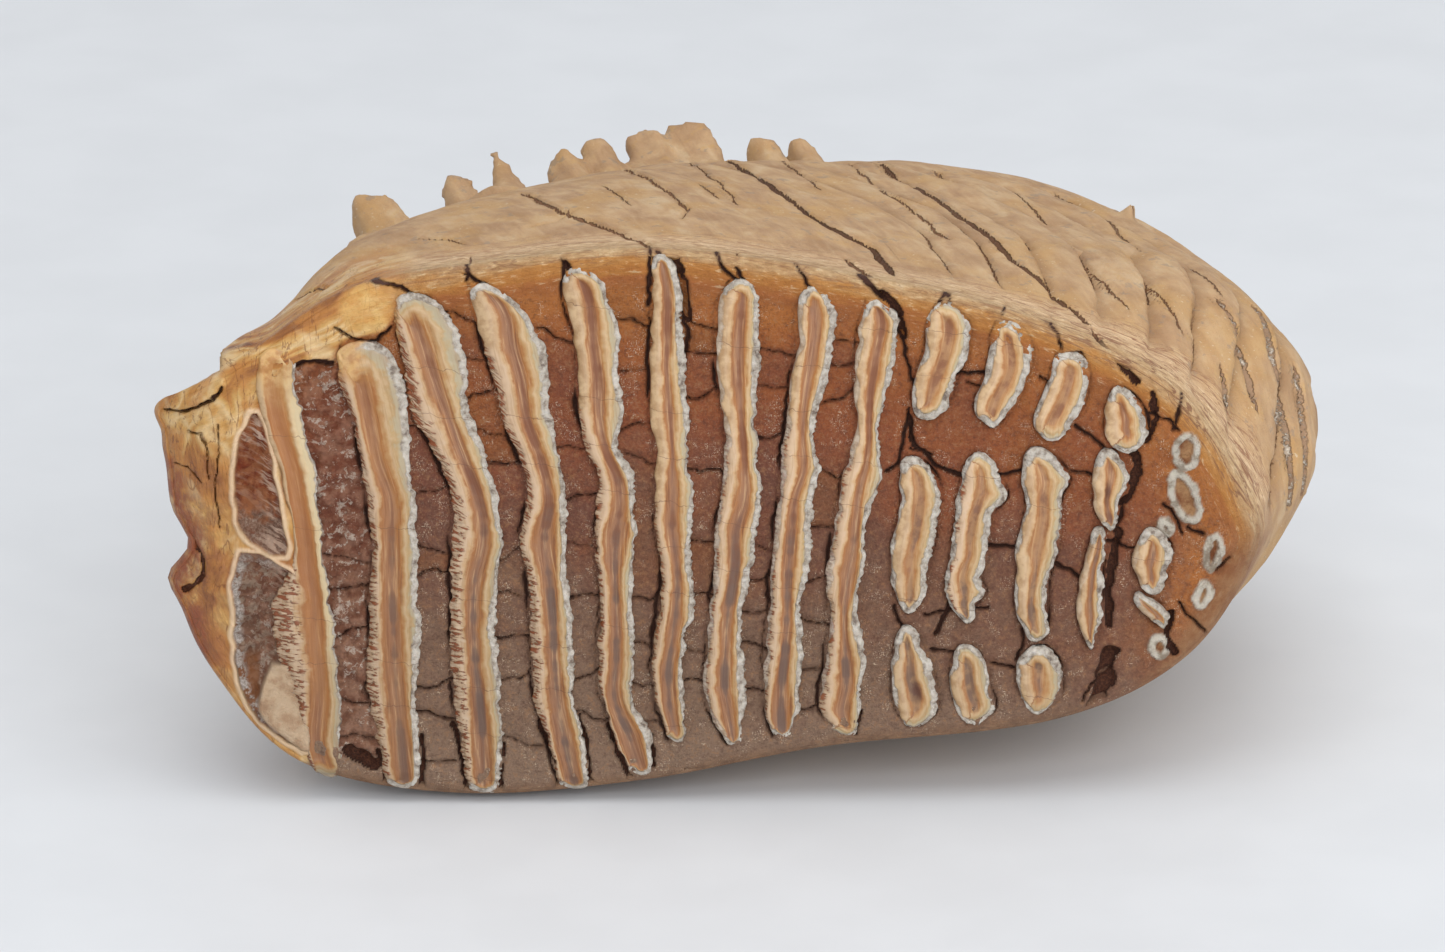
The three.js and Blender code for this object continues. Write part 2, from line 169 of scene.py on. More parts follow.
# Plates that have only begun to wear show as islands, as (height, left edge, right edge).
ISLANDS = (
    ((98.8, 156, 159.2), (95, 154.2, 162.8), (90, 153.8, 162.6), (84, 151.8, 160.6), (80, 151.2, 159.2),
     (76.2, 152.4, 156.4)),
    ((68.2, 150.4, 153.2), (64, 149, 156.6), (60, 149.2, 157.4), (56, 148.6, 156.6), (52, 147.6, 156.4),
     (48, 147.2, 155.4), (44, 147.4, 154.6), (40, 148.4, 154.2), (37.4, 150.2, 151.8)),
    ((34, 149.8, 151.2), (30, 148, 154), (26, 147.6, 155.6), (20, 147.6, 157), (17, 148.6, 156.6),
     (14.2, 150.8, 153.2)),
    ((95.2, 168, 172.4), (92.4, 166.8, 174.6), (88.6, 166.8, 175.6), (83.8, 165.6, 174.6),
     (79.8, 164, 173), (76.3, 164.4, 170.6), (74.5, 166.8, 168.8)),
    ((68.7, 163.8, 165.8), (65.9, 161.6, 168.4), (62.9, 161, 170), (59.9, 160.4, 170.6),
     (56.9, 160.6, 168), (51.9, 159.4, 167), (47.9, 159, 167), (43.9, 158.6, 165.4), (40.9, 158.2, 166.6),
     (38.3, 159.6, 164.6), (35.3, 162.2, 163.2)),
    ((30.1, 161, 163.8), (26.9, 159.6, 166.4), (21.9, 159.6, 167.6), (17.9, 160.6, 168.6),
     (14.5, 162.8, 165.8)),
    ((88.6, 180.2, 185), (86, 179.2, 186.6), (81.5, 178.2, 186.8), (77.6, 176.6, 185.8),
     (74.6, 175.8, 183.8), (71.6, 178.2, 180.8)),
    ((69.5, 175.2, 177.8), (66.7, 173.8, 181.2), (62.6, 173.6, 183.2), (60.6, 174.2, 181.8),
     (55.6, 173.8, 181.6), (49.7, 172.4, 181.2), (43.7, 172.6, 179.4), (38.7, 172.2, 179),
     (34.7, 173.4, 179), (31.3, 175.8, 178)),
    ((29.7, 175.4, 178.8), (26.7, 173.2, 181.4), (22.7, 172.6, 182.2), (19.6, 174, 181.8),
     (16.5, 176.2, 178.2)),
    ((81.6, 191.6, 193.6), (79.1, 190.6, 196.6), (76.1, 190.2, 198.4), (72.5, 190.2, 198.8),
     (68.7, 193.2, 196.8)),
    ((68.8, 189.6, 191.8), (66.2, 188.4, 194.4), (62.2, 187.8, 195), (58.2, 188, 193.8),
     (55.2, 189, 193.4), (53.2, 190.8, 192.4)),
    ((53.1, 188.2, 190.4), (49.3, 187, 191), (45.3, 186, 190.2), (39.4, 185, 190.2), (35.4, 185, 190.2),
     (32.4, 185.6, 189.4), (29.5, 187.2, 188.8)),
    ((52.7, 199, 201), (49.8, 196.8, 203.4), (46.3, 196, 204), (42.9, 197, 203), (40, 199, 201.4)),
    ((39.8, 196.6, 198.2), (38.1, 196.6, 201), (36.4, 197.8, 202.6), (34.8, 199.4, 203.8),
     (33.1, 201.4, 203.8)),
)
# Plates that barely show: low rings, as (along, height, half width, half height, turn in degrees).
RINGS = (
    (206.6, 68.2, 3, 4, 0), (206.5, 58.8, 3.1, 6.2, -22), (202.6, 52.8, 1.8, 2.3, -15),
    (212.4, 47.4, 2.2, 4, 12), (210.4, 39.2, 2.1, 3.1, 18), (201.8, 29.2, 2.4, 2.6, 0),
)

# Cross cracks in the cement behind each plate, by height.
CROSS_CRACKS = (
    (48, 42, 33, 18.8, 11.4),
    (83.4, 74.6, 61.6, 49, 45, 22, 16, 7),
    (96, 88, 81, 72.8, 66.8, 48.6, 40, 32, 23.8, 10.4),
    (92, 70, 60, 50, 40, 24.4, 16),
    (94.8, 85, 74.6, 67.4, 39.4, 31, 22.4, 15),
    (95, 88.6, 80.6, 65.4, 51, 40.4, 29, 22.4),
    (89.4, 82, 72.6, 49.6, 44, 37.4, 30, 21.4),
    (91, 86.2, 79.8, 65, 54.4, 43.4, 35, 24.6, 18),
)
# The crack under a thin slab on the front end's upper corner.
TABLET_EDGE = np.array([(1.4, 75.6), (5, 76), (8.6, 77.6), (12.2, 80), (13.4, 81.8)])
# Other cracks in the face, as lines of (along, height), with the half width of each.
FACE_CRACKS = (
    (0.35, ((146, 95.4), (149, 92), (152, 81.4))), (0.35, ((146, 65), (148.4, 66.6), (150.6, 76))),
    (0.5, ((150.6, 76), (152, 71), (156, 66.4), (163, 64), (169.4, 64))),
    (0.3, ((169.4, 64), (175, 65.6))), (0.22, ((183, 65), (187.6, 64.4))),
    (0.25, ((151.4, 70), (155, 68.8))), (0.2, ((162.2, 83), (165.8, 81.4))),
    (0.35, ((160, 84.6), (166.4, 84.8))), (0.2, ((176.6, 84), (180, 82.4))),
    (0.4, ((166, 50.4), (169, 50), (172.6, 49.4))), (0.35, ((180.4, 46), (184, 44.6), (186, 43))),
    (0.3, ((190.6, 50.6), (194, 49.4), (197, 48.8))), (0.45, ((160.6, 44), (158.6, 37), (156.4, 33))),
    (0.25, ((154, 36.6), (162, 37.2), (167, 37.6))), (0.3, ((148, 38.6), (150, 34.6), (151, 31))),
    (0.25, ((155.4, 29.6), (161, 28.4))), (0.3, ((173.6, 33), (174, 30), (172.6, 27))),
    (0.25, ((167.4, 27), (172, 25.4))), (0.3, ((202, 57.4), (204, 56.4), (206, 51.4))),
    (0.3, ((207.4, 52.6), (210.6, 51))), (0.25, ((205.6, 37.4), (209, 34), (211, 31.4))),
    (0.25, ((191, 68.4), (187.6, 72), (184, 74))), (0.25, ((198, 76.6), (203, 74.4), (205.4, 72.4))),
    (0.2, ((213, 44), (216, 46.4))), (0.3, ((156.6, 99.2), (158, 101), (158.6, 104))),
    (0.3, ((169.6, 96.4), (170.4, 99), (172, 100.4))), (0.25, ((181, 89), (180, 92.4), (178, 95))),
    (0.3, ((204.4, 72.6), (205, 76), (206, 80))), (0.25, ((192, 25), (188, 22), (186, 18.6))),
    (0.5, ((36, 86.8), (30, 87.4), (28.2, 86.6))),
    (0.3, ((36, 94.8), (39, 92.4), (42, 91), (45, 91.4), (47.6, 94))),
    (0.3, ((20, 99), (24, 101.4), (30, 102.8), (36, 103))),
    (0.4, ((42, 103.8), (46, 102.8), (50, 102), (55, 99.6), (59, 95.4))), (0.34, TABLET_EDGE),
    (0.2, ((12.2, 74.6), (12.6, 70), (12.2, 62), (12.6, 54))),
    (0.19, ((6.2, 72.6), (9.2, 72.7), (10.2, 69.9), (10.6, 65.6), (10.8, 63.8))),
    (0.17, ((2.8, 65.4), (6.4, 65), (9.6, 62.2))),
    (0.35, ((62.2, 108.4), (62.6, 105), (66.4, 102.6), (70, 100), (73.4, 95))),
    (0.35, ((82, 108), (82.2, 104), (82, 99))), (0.4, ((99.4, 109), (99, 104), (98.6, 98))),
    (0.35, ((111.6, 108.8), (114, 105.4), (117, 103.4))), (0.3, ((62.6, 103.6), (63, 107), (62.8, 109))),
    (0.35, ((83, 106.4), (82, 108))), (0.35, ((106, 100), (106.4, 92), (105.8, 86))),
    (0.45, ((101, 108.6), (104.6, 104), (106.4, 99))), (0.3, ((116, 106), (117.6, 103.6))),
    (0.3, ((128, 107), (130.6, 102.4))), (0.6, ((138, 108), (142, 103.6), (145, 100))),
    (0.3, ((158, 101.6), (158.6, 99))),
)

# Two pockets of crumbly cement in the front end, and a smooth cream patch in the lower one.
POCKETS = (
    ((77.2, 19.4, 20.6), (72, 17.0, 22.4), (66, 15.8, 23.5), (60, 16.0, 24.5), (54, 17.0, 25.6),
     (50, 20.8, 26.2), (48.6, 23.6, 25.8)),
    ((49, 16.8, 20.6), (45, 15.4, 27), (36, 15.2, 29), (28, 15.4, 30), (20, 17.2, 30.4),
     (14, 21.4, 30.6), (9, 28.6, 30.6)),
)
CREAM_PATCH = ((26.8, 22.6, 29.4), (22, 20.6, 30), (16, 20.6, 30.4), (11.6, 25.4, 30.4), (9, 28.8, 30.4))
# The front end is smooth honey-coloured dentine and enamel as far as this line.
HONEY_EDGE = (
    (-8, 4), (20, 2), (31, 6), (30, 20), (28.4, 40), (27, 56), (25.4, 70), (27.4, 83), (29.4, 87.4), (36, 87),
    (38.6, 91), (45, 93.6), (49.4, 97), (50, 104), (30, 110), (-8, 100),
)

# Grooves between the plates' edges, by where they meet the face, and how the plates curve back.
UPPER_GROOVES = (118, 130, 141, 151, 160, 169, 178, 187, 196, 204, 211, 218, 224)
LOWER_GROOVES = (130, 154, 178, 202)
PLATE_CURVE = 0.0043
LEAN_START = 150
LEAN_RATE = 0.0062

# Cracks in the side that faces up, as a half width, how much pale filling, and (along, depth).
SIDE_CRACKS = (
    (0.34, 0, ((72, 62), (81, 34), (88, 22), (98, 7), (100, 1))),
    (0.14, 0, ((84, 36), (80, 27), (74, 24))), (0.16, 0, ((88, 62), (92, 50), (95, 37))),
    (0.3, 0, ((92, 91), (103, 51), (107, 36), (105, 27))), (0.2, 0, ((106, 103), (112, 72), (117, 46))),
    (0.16, 0, ((108, 66), (113, 50))),
    (0.72, 0, ((114, 108), (123, 72), (135, 38), (144, 25), (147, 13), (148, 7))),
    (0.2, 0, ((125, 116), (134, 74))), (0.26, 0, ((140, 123), (147, 83), (157, 49), (160, 41))),
    (0.6, 0, ((144, 133), (153, 96), (161, 71), (170, 44), (173, 35), (182, 19), (189, 8))),
    (1.0, 0, ((187, 11), (189, 8), (194, 1), (196, -3))), (0.3, 0.4, ((158, 124), (165, 103), (172, 88))),
    (0.25, 0.3, ((184, 125), (193, 104), (200, 65))),
    (0.2, 0, ((173, 116), (180, 85), (188, 43), (196, 24))), (0.18, 0, ((198, 50), (204, 34), (207, 25))),
    (0.45, 0, ((138, 15), (141, 8), (145, 1))), (0.3, 0, ((63, 10), (63, 1))),
    (0.25, 0, ((158, 6), (158.6, 1))), (0.3, 0, ((116, 7), (117, 1))), (0.25, 0, ((128, 5), (130, 0))),
    (0.5, 1, ((214, 27), (216, 18))), (0.85, 1, ((223, 60), (225, 53), (226, 42), (229, 37), (230, 30))),
    (0.6, 1, ((214, 46), (218, 41), (221, 32), (221.6, 27))),
    (0.45, 1, ((231, 52), (233, 40), (233.4, 33))), (0.16, 0.2, ((206, 78), (212, 60), (216, 46))),
    (0.14, 0, ((50, 30), (58, 24), (62, 17))), (0.2, 0, ((26, 28), (31, 20), (34, 12))),
)
# Wide dark gaps in the face, as in FACE_CRACKS but deeper; their dark colour is painted shade.
DEEP_GAPS = (
    (0.9, ((192.4, 88), (194.6, 84.4), (196.6, 82.4))), (0.7, ((199.4, 80), (200.4, 75), (199, 70.4))),
    (0.9, ((195.4, 69.4), (197, 65.4), (195.8, 60.6), (194, 58.4))),
    (1.0, ((192.8, 52), (191.6, 44), (191, 33.6))),
    (2.2, ((191.4, 27.6), (190.6, 25), (191, 22), (189.4, 20), (188.8, 17))),
    (1.4, ((103.4, 108), (105.6, 102.6), (106.6, 96))), (0.6, ((61.6, 108.2), (62.6, 105))),
    (0.6, ((81.6, 108.4), (82.6, 106))), (0.7, ((99.6, 109.6), (100, 107))),
    (0.6, ((84.8, 16), (86.3, 8), (86.8, 2.5))), (0.7, ((90.4, 14), (93, 8), (95, 4))),
    (0.5, ((69.5, 10), (68.8, 1.4))), (0.6, ((59.2, 14), (61, 6), (61.8, 1))),
    (0.7, ((52.9, 12), (52.6, 2))), (0.6, ((44.2, 9), (46, 1.6))),
    (0.6, ((76.6, 15), (79.6, 7), (80.6, 1.8))), (0.5, ((99.3, 12), (99.5, 6))),
    (0.5, ((141.2, 17), (140.6, 12.6))), (1.0, ((145.6, 100.4), (148.6, 97), (149.4, 92))),
    (0.7, ((150.8, 77.4), (151.4, 71.6))), (1.6, ((38.4, 9.6), (41, 7.4), (43.6, 6))),
    (0.55, ((6.6, 50.6), (8.4, 48), (8.8, 44), (7.2, 41.2), (4.6, 40.2))),
    (0.8, ((204.4, 35.4), (203, 31.6), (204.6, 27.6))),
)
# The front tip has a hollow and a rounded lobe below it, as (height, half height, how far in).
FRONT_NOTCHES = ((49.8, 4.4, 3.6), (41.4, 3.8, -2.0), (76.2, 3.2, -1.6), (71, 2.4, 0.8))

# Roots as (along, height, depth) at the crown and the tip, half widths, and the tip's share.
ROOTS = (
    ((46.5, 91, 62), (39.5, 96.5, 96), (9, 7.5), 0.5), ((61, 93, 74), (57, 98.5, 107), (6, 5.5), 0.5),
    ((70, 94, 82), (63.6, 104, 124), (11, 7.5), -0.03), ((81, 95, 90), (79.5, 100.5, 121), (5.5, 5.5), 0.55),
    ((89, 95, 96), (86, 102.5, 129), (6, 6), 0.45), ((99, 96, 102), (96.5, 102, 136), (6.5, 6.5), 0.65),
    ((108, 96, 108), (105.5, 102.5, 137), (7, 6.5), 0.7), ((124, 95, 118), (122, 100, 140), (5.5, 5.5), 0.6),
    ((132, 95, 124), (130, 98.5, 142), (5.5, 5.5), 0.6), ((50, 40, 62), (42, 36, 98), (11, 13), 0.5),
    ((68, 27, 80), (62, 24, 114), (9, 8), 0.5), ((84, 25, 92), (80, 26, 120), (8, 7.5), 0.55),
    ((100, 24, 102), (97, 26, 130), (7.5, 7.5), 0.6), ((116, 24, 112), (113, 27, 136), (7.5, 7), 0.6),
    ((64, 66, 78), (58, 67, 106), (8, 10), 0.6), ((90, 60, 98), (87, 60, 120), (7.5, 10), 0.6),
)
ROOT_BEND = 2.5
ROOT_LIFT = 1.5
ROOT_EXTRA = 0.6
ROOT_VOXEL = 1.26
# Points round a root, and round the back of the crown that the roots are fused with.
ROOT_SIDES = 32
ROOT_RING = 150
ROOT_ROWS = 34


# Numbers: smooth steps, curves, noise and distances

def step(low, high, value):
    """0 below low and 1 above high, smooth between; low may be the larger."""
    share = np.clip((value - low) / (high - low), 0, 1)
    return share * share * (3 - 2 * share)


def lattice(cells, seed):
    """A random value from 0 to 1 for each whole-number cell."""
    value = np.full(cells[0].shape, seed * 2654435 + 97, dtype=np.uint32)
    for cell in cells:
        value = (value ^ cell.astype(np.int64).astype(np.uint32)) * np.uint32(0x9E3779B1)
        value ^= value >> np.uint32(15)
        value = value * np.uint32(0x85EBCA6B)
        value ^= value >> np.uint32(13)
    return value / 4294967296.0


def noise(places, size, seed):
    """Smooth noise from -1 to 1 with features of one size, in as many directions as given."""
    scaled = [np.asarray(place, float) / size for place in places]
    floors = [np.floor(one) for one in scaled]
    shares = [one - low for one, low in zip(scaled, floors)]
    smooth = [share * share * (3 - 2 * share) for share in shares]
    total = 0
    for corner in itertools.product((0, 1), repeat=len(places)):
        weight = 1
        for share, side in zip(smooth, corner):
            weight = weight * (share if side else 1 - share)
        total = total + weight * lattice([low + side for low, side in zip(floors, corner)], seed)
    return total * 2 - 1


def rough(places, size, seed, octaves=3):
    """Noise with finer noise on it."""
    return sum(noise(places, size / 2 ** k, seed + k) * 0.5 ** k for k in range(octaves))


def lumps(places, size, seed):
    """Distance to the nearest of scattered points, in lump sizes: 0 on a lump's top."""
    scaled = [np.asarray(place, float) / size for place in places]
    floors = [np.floor(one) for one in scaled]
    nearest = np.full(scaled[0].shape, 9.0)
    for corner in itertools.product((-1, 0, 1), repeat=2):
        cells = [low + side for low, side in zip(floors, corner)]
        gaps = [cell + lattice(cells, seed + k) - one for k, (cell, one) in enumerate(zip(cells, scaled))]
        nearest = np.minimum(nearest, gaps[0] ** 2 + gaps[1] ** 2)
    return np.sqrt(nearest)


def through(positions, values, at):
    """Values on a smooth curve through the values at rising positions."""
    positions = np.asarray(positions, float)
    values = np.asarray(values, float)
    slopes = np.gradient(values, positions)
    i = np.clip(np.searchsorted(positions, at) - 1, 0, len(positions) - 2)
    width = positions[i + 1] - positions[i]
    t = np.clip((at - positions[i]) / width, 0, 1)
    start, end = values[i], values[i + 1]
    return (
        start * (1 + 2 * t) * (1 - t) ** 2 + end * t * t * (3 - 2 * t)
        + width * (slopes[i] * t * (1 - t) ** 2 - slopes[i + 1] * t * t * (1 - t))
    )


def catmull(p0, p1, p2, p3, t):
    """A Catmull-Rom curve's point between p1 and p2."""
    m1 = (p2 - p0) / 2
    m2 = (p3 - p1) / 2
    return p1 + m1 * t + (3 * (p2 - p1) - 2 * m1 - m2) * t ** 2 + (2 * (p1 - p2) + m1 + m2) * t ** 3


def closed_curve(points, shares):
    """Points of a smooth closed curve through the points given, at shares of the way round."""
    points = np.asarray(points, float)
    count = len(points)
    at = np.asarray(shares) * count
    i = np.floor(at).astype(int)
    corners = [points[(i + k) % count] for k in (-1, 0, 1, 2)]
    return catmull(*corners, (at - i)[:, None])


def distance_to(line, along, height):
    """Distance from each place to a line of points."""
    line = np.asarray(line, float)
    nearest = np.full(along.shape, 1e6)
    for start, end in zip(line[:-1], line[1:]):
        run = end - start
        length = max(run @ run, 1e-9)
        share = np.clip(((along - start[0]) * run[0] + (height - start[1]) * run[1]) / length, 0, 1)
        gap = (along - start[0] - share * run[0]) ** 2 + (height - start[1] - share * run[1]) ** 2
        nearest = np.minimum(nearest, gap)
    return np.sqrt(nearest)


def inside(outline, along, height):
    """True where a place is inside a closed outline."""
    outline = np.asarray(outline, float)
    found = np.zeros(along.shape, bool)
    for (a0, h0), (a1, h1) in zip(outline, np.roll(outline, -1, axis=0)):
        if h0 == h1:
            continue
        crosses = (h0 > height) != (h1 > height)
        found ^= crosses & (along < (a1 - a0) * (height - h0) / (h1 - h0) + a0)
    return found


def window(line, reach, along, height):
    """True where a place is inside a line's bounds, widened by its reach."""
    low = np.min(line, axis=0) - reach
    high = np.max(line, axis=0) + reach
    return (along > low[0]) & (along < high[0]) & (height > low[1]) & (height < high[1])


def signed_distance(outline, along, height, reach=1e6):
    """Distance to a closed outline, negative inside it, worked out within its reach only."""
    outline = np.asarray(outline, float)
    near = window(outline, reach, along, height)
    gap = np.full(along.shape, float(reach))
    closed = np.vstack([outline, outline[:1]])
    some = distance_to(closed, along[near], height[near])
    some[inside(outline, along[near], height[near])] *= -1
    gap[near] = np.minimum(some, reach)
    return gap


# The tooth's form

def face_depth(along):
    """How far the chewing face falls away at a place along the tooth."""
    front = np.maximum(0, (FRONT_FALL_START - along) / FRONT_FALL_START)
    back = np.maximum(0, (along - BACK_FALL_START) / BACK_FALL_LENGTH)
    return FRONT_FALL * front ** 2 + BACK_FALL * back ** 2


def to_frame(spots):
    """Places (along, height, depth) in millimetres as points in the frame, in millimetres."""
    across = spots[..., 1] * HEIGHT_SCALE
    depth = spots[..., 2]
    back = across * math.sin(FACE_LEAN) + depth * math.cos(FACE_LEAN)
    up = across * math.cos(FACE_LEAN) - depth * math.sin(FACE_LEAN)
    return np.stack([spots[..., 0], back, up], axis=-1) + CAD_OFFSET


def from_frame(points):
    """Points in the frame, in millimetres, as places (along, height, depth)."""
    local = points - CAD_OFFSET
    across = local[..., 1] * math.sin(FACE_LEAN) + local[..., 2] * math.cos(FACE_LEAN)
    depth = local[..., 1] * math.cos(FACE_LEAN) - local[..., 2] * math.sin(FACE_LEAN)
    return np.stack([local[..., 0], across / HEIGHT_SCALE, depth], axis=-1)


def notched(flat):
    """Moves an outline's front tip in or out at its notches."""
    near = step(16, 8, flat[:, 0])
    moved = sum(deep * np.exp(-((flat[:, 1] - middle) / half) ** 2) for middle, half, deep in FRONT_NOTCHES)
    return flat + np.column_stack([moved * near, np.zeros(len(flat))])


def crown_rings(shares):
    """The four crown outlines at shares of the way round, as (along, height, depth)."""
    rings = []
    for depth, points in OUTLINES:
        flat = notched(closed_curve(points, shares))
        rings.append(np.column_stack([flat, np.full(len(flat), float(depth))]))
    return rings


def side_ring(rings, share):
    """A ring of the crown's side, at one share of the way back from the face's edge."""
    padded = [2 * rings[0] - rings[1], *rings, 2 * rings[3] - rings[2]]
    at = share * 3
    i = min(int(at), 2)
    return catmull(*padded[i:i + 4], at - i)


def base_depth(share):
    """Depth of the crown's domed base at a share of the way out from its middle."""
    return OUTLINES[3][0] + BASE_DOME * math.sqrt(1 - share ** 2.5)


FACE_OUTLINE = notched(closed_curve(OUTLINES[0][1], np.linspace(0, 1, 300, endpoint=False)))


def rim_distance(along, height):
    """How far a place on the face is from the face's edge, positive inside."""
    return -signed_distance(FACE_OUTLINE, along, height)


def lip_depth(rim):
    """Depth of the face near its edge: a rounded lip, then down to the cement."""
    over = np.clip((LIP_WIDTH - rim) / LIP_WIDTH, 0, 1)
    rolled = LIP_TOP + (EDGE_DEPTH - LIP_TOP) * (1 - np.sqrt(1 - over ** 2))
    return rolled + (CEMENT_SUNK - LIP_TOP) * step(LIP_WIDTH, CEMENT_FROM, rim)


def edge_at(rows, column, height):
    """Where an edge of a shape given as (height, left edge, ..., right edge) is at a height."""
    heights = np.array([row[0] for row in rows])[::-1]
    return through(heights, np.array([row[column] for row in rows])[::-1], height)


def strip_outline(left, right, heights):
    """The outline of a strip between two edges."""
    return np.vstack([np.column_stack([left, heights]), np.column_stack([right, heights])[::-1]])


def rows_outline(rows):
    """The outline of a shape given as (height, left edge, ..., right edge)."""
    heights = np.linspace(rows[-1][0], rows[0][0], 60)
    return strip_outline(edge_at(rows, 1, heights), edge_at(rows, -1, heights), heights)


def ring_outline(along, height, half_width, half_height, turn):
    """An oval on the face."""
    angles = np.linspace(0, 2 * math.pi, 40, endpoint=False)
    x = half_width * np.cos(angles)
    y = half_height * np.sin(angles)
    lean = math.radians(turn)
    return np.column_stack([
        along + x * math.cos(lean) + y * math.sin(lean), height - x * math.sin(lean) + y * math.cos(lean),
    ])


def plate_start(along, depth):
    """Where the plate edge that passes a place on the side meets the face."""
    straight = along + PLATE_CURVE * depth ** 2
    leaned = (straight + LEAN_START * LEAN_RATE * depth) / (1 + LEAN_RATE * depth)
    return np.where(straight < LEAN_START, straight, leaned)


# Building pieces

def set_fields(mesh, fields):
    """Numbers and vectors at a mesh's points, which its material reads by name."""
    for field, values in fields.items():
        vector = values.ndim == 2
        attribute = mesh.attributes.new(field, "FLOAT_VECTOR" if vector else "FLOAT", "POINT")
        attribute.data.foreach_set("vector" if vector else "value", values.astype(np.float32).ravel())


def make_piece(name, points, quads, caps, fields, material, flat=None):
    """A mesh from points in millimetres, four-sided faces and many-sided caps, with its fields."""
    mesh = bpy.data.meshes.new(name)
    mesh.vertices.add(len(points))
    mesh.vertices.foreach_set("co", (points * MM).astype(np.float32).ravel())
    corners = np.concatenate([quads.ravel(), *caps]).astype(np.int32)
    sizes = np.array([4] * len(quads) + [len(cap) for cap in caps])
    starts = np.concatenate([[0], np.cumsum(sizes)[:-1]]).astype(np.int32)
    mesh.loops.add(len(corners))
    mesh.loops.foreach_set("vertex_index", corners)
    mesh.polygons.add(len(starts))
    mesh.polygons.foreach_set("loop_start", starts)
    smooth = np.ones(len(starts), bool)
    smooth[len(quads):] = False
    if flat is not None:
        smooth[flat] = False
    mesh.polygons.foreach_set("use_smooth", smooth)
    set_fields(mesh, fields)
    mesh.update(calc_edges=True)
    mesh.validate()
    piece = bpy.data.objects.new(name, mesh)
    bpy.context.scene.collection.objects.link(piece)
    mesh.materials.append(material)
    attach(piece, "root")
    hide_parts("molar")
    return piece


def tube_quads(rows, columns, first=0):
    """Faces between rows of points that each go once round."""
    r = np.arange(rows - 1)[:, None] * columns
    c = np.arange(columns)[None, :]
    after = (c + 1) % columns
    quads = np.stack([r + c, r + after, r + columns + after, r + columns + c], axis=-1)
    return quads.reshape(-1, 4) + first


def closed_tube(rows, columns, first=0, turned=False):
    """Faces and both caps of a closed tube of points, the other way round if it is turned."""
    quads = tube_quads(rows, columns, first)
    caps = [first + np.arange(columns)[::-1], first + (rows - 1) * columns + np.arange(columns)]
    if turned:
        return quads[:, ::-1], [cap[::-1] for cap in caps]
    return quads, caps


def grid_normals(points):
    """Outward normals of rows of points that each go once round."""
    around = np.roll(points, -1, axis=1) - np.roll(points, 1, axis=1)
    back = np.gradient(points, axis=0)
    normals = np.cross(around, back)
    return normals / np.maximum(np.linalg.norm(normals, axis=-1, keepdims=True), 1e-9)


# The crown: lip, sides and base

# Points round the crown are this far apart on the side that faces up and on the side it lies on.
TOP_STEP = 0.62
UNDER_STEP = 1.7
TOP_UNTIL = 0.56
RING_POINTS = 4001
# Rows of points, as distances inside the face's edge, then as depths by (from, to, step), and last
# as shares of the way out from the middle of the base.
HIDDEN_SHARES = (0.03, 0.4, 0.7)
HIDDEN_DEPTH = 5.5
LIP_OFFSETS = (14, 11, 9.5, 8.2, 7, 6, 5.2, 4.6, 4, 3.4, 2.8, 2.2, 1.7, 1.2, 0.8, 0.45, 0.2)
SIDE_ROWS = ((3, 66, 0.9), (66, 120, 1.2), (120, 136, 2.5))
BASE_SHARES = (
    0.99, 0.97, 0.95, 0.925, 0.9, 0.87, 0.84, 0.8, 0.76, 0.72, 0.67, 0.61, 0.54, 0.46, 0.36, 0.24, 0.1,
)
# The crown's skin sinks behind the lip, so that cracks in the sheets on it stay open.
SKIN_GAP = 0.05
SKIN_SUNK = 3.6
# The side's ridges and cracks end between these depths.
RIDGE_FADES = (118, 132)
CRACK_FADES = (118, 130)
# A thin splinter stands on the skyline, as (along, depth), with its half widths and its height.
SPLINTER = (199.5, 111)
SPLINTER_HALF = (1.3, 4)
SPLINTER_HEIGHT = 4.6
SLIT_WIDTH = 0.5
# Chips on the front end's upper corner stand out, or go in, by these millimetres.
CHIP_HEIGHT = 3.4
CHIP_DEPTH = 1.5
TABLET_HEIGHT = 1.1


def crown_shares():
    """Shares of the way round the crown, close together on the side that faces up."""
    dense = np.linspace(0, 1, RING_POINTS)
    ring = closed_curve(OUTLINES[1][1], dense)
    lengths = np.linalg.norm(np.diff(ring, axis=0), axis=1)
    middle = (dense[1:] + dense[:-1]) / 2
    fine = np.minimum(step(-0.02, 0.0, middle), step(TOP_UNTIL + 0.04, TOP_UNTIL, middle))
    spacing = UNDER_STEP + (TOP_STEP - UNDER_STEP) * fine
    counted = np.concatenate([[0], np.cumsum(lengths / spacing)])
    count = int(counted[-1])
    return np.interp(np.arange(count) * counted[-1] / count, counted, dense)


def side_cracks(along, depth):
    """The nearest side crack: signed distance from its middle, half width, mask and pale filling."""
    cut = np.full(along.shape, 4.0)
    wide, mask, filled = np.zeros(along.shape), np.zeros(along.shape), np.zeros(along.shape)
    bent = along + 0.5 * noise([along, depth], 6, 15) + 0.3 * noise([along, depth], 2, 16)
    for half, filling, line in SIDE_CRACKS:
        line = np.asarray(line, float)
        near = window(line, 3.5, along, depth)
        if not near.any():
            continue
        side = np.sign(bent[near] - np.interp(depth[near], line[::-1, 1], line[::-1, 0]))
        gap = distance_to(line, bent[near], depth[near])
        taper = step(-0.5, 4, np.minimum(line[0, 1] - depth[near], depth[near] - line[-1, 1]))
        closer = (gap - half < np.abs(cut[near]) - wide[near]) & (gap < 2.4)
        for field, value in ((cut, side * gap), (wide, SLIT_WIDTH * half * taper), (filled, filling * taper)):
            field[near] = np.where(closer, value, field[near])
        mask[near] = np.maximum(mask[near], step(1.3, 0.7, gap - SLIT_WIDTH * half) * step(0, 0.2, taper))
    return cut, wide, mask, filled


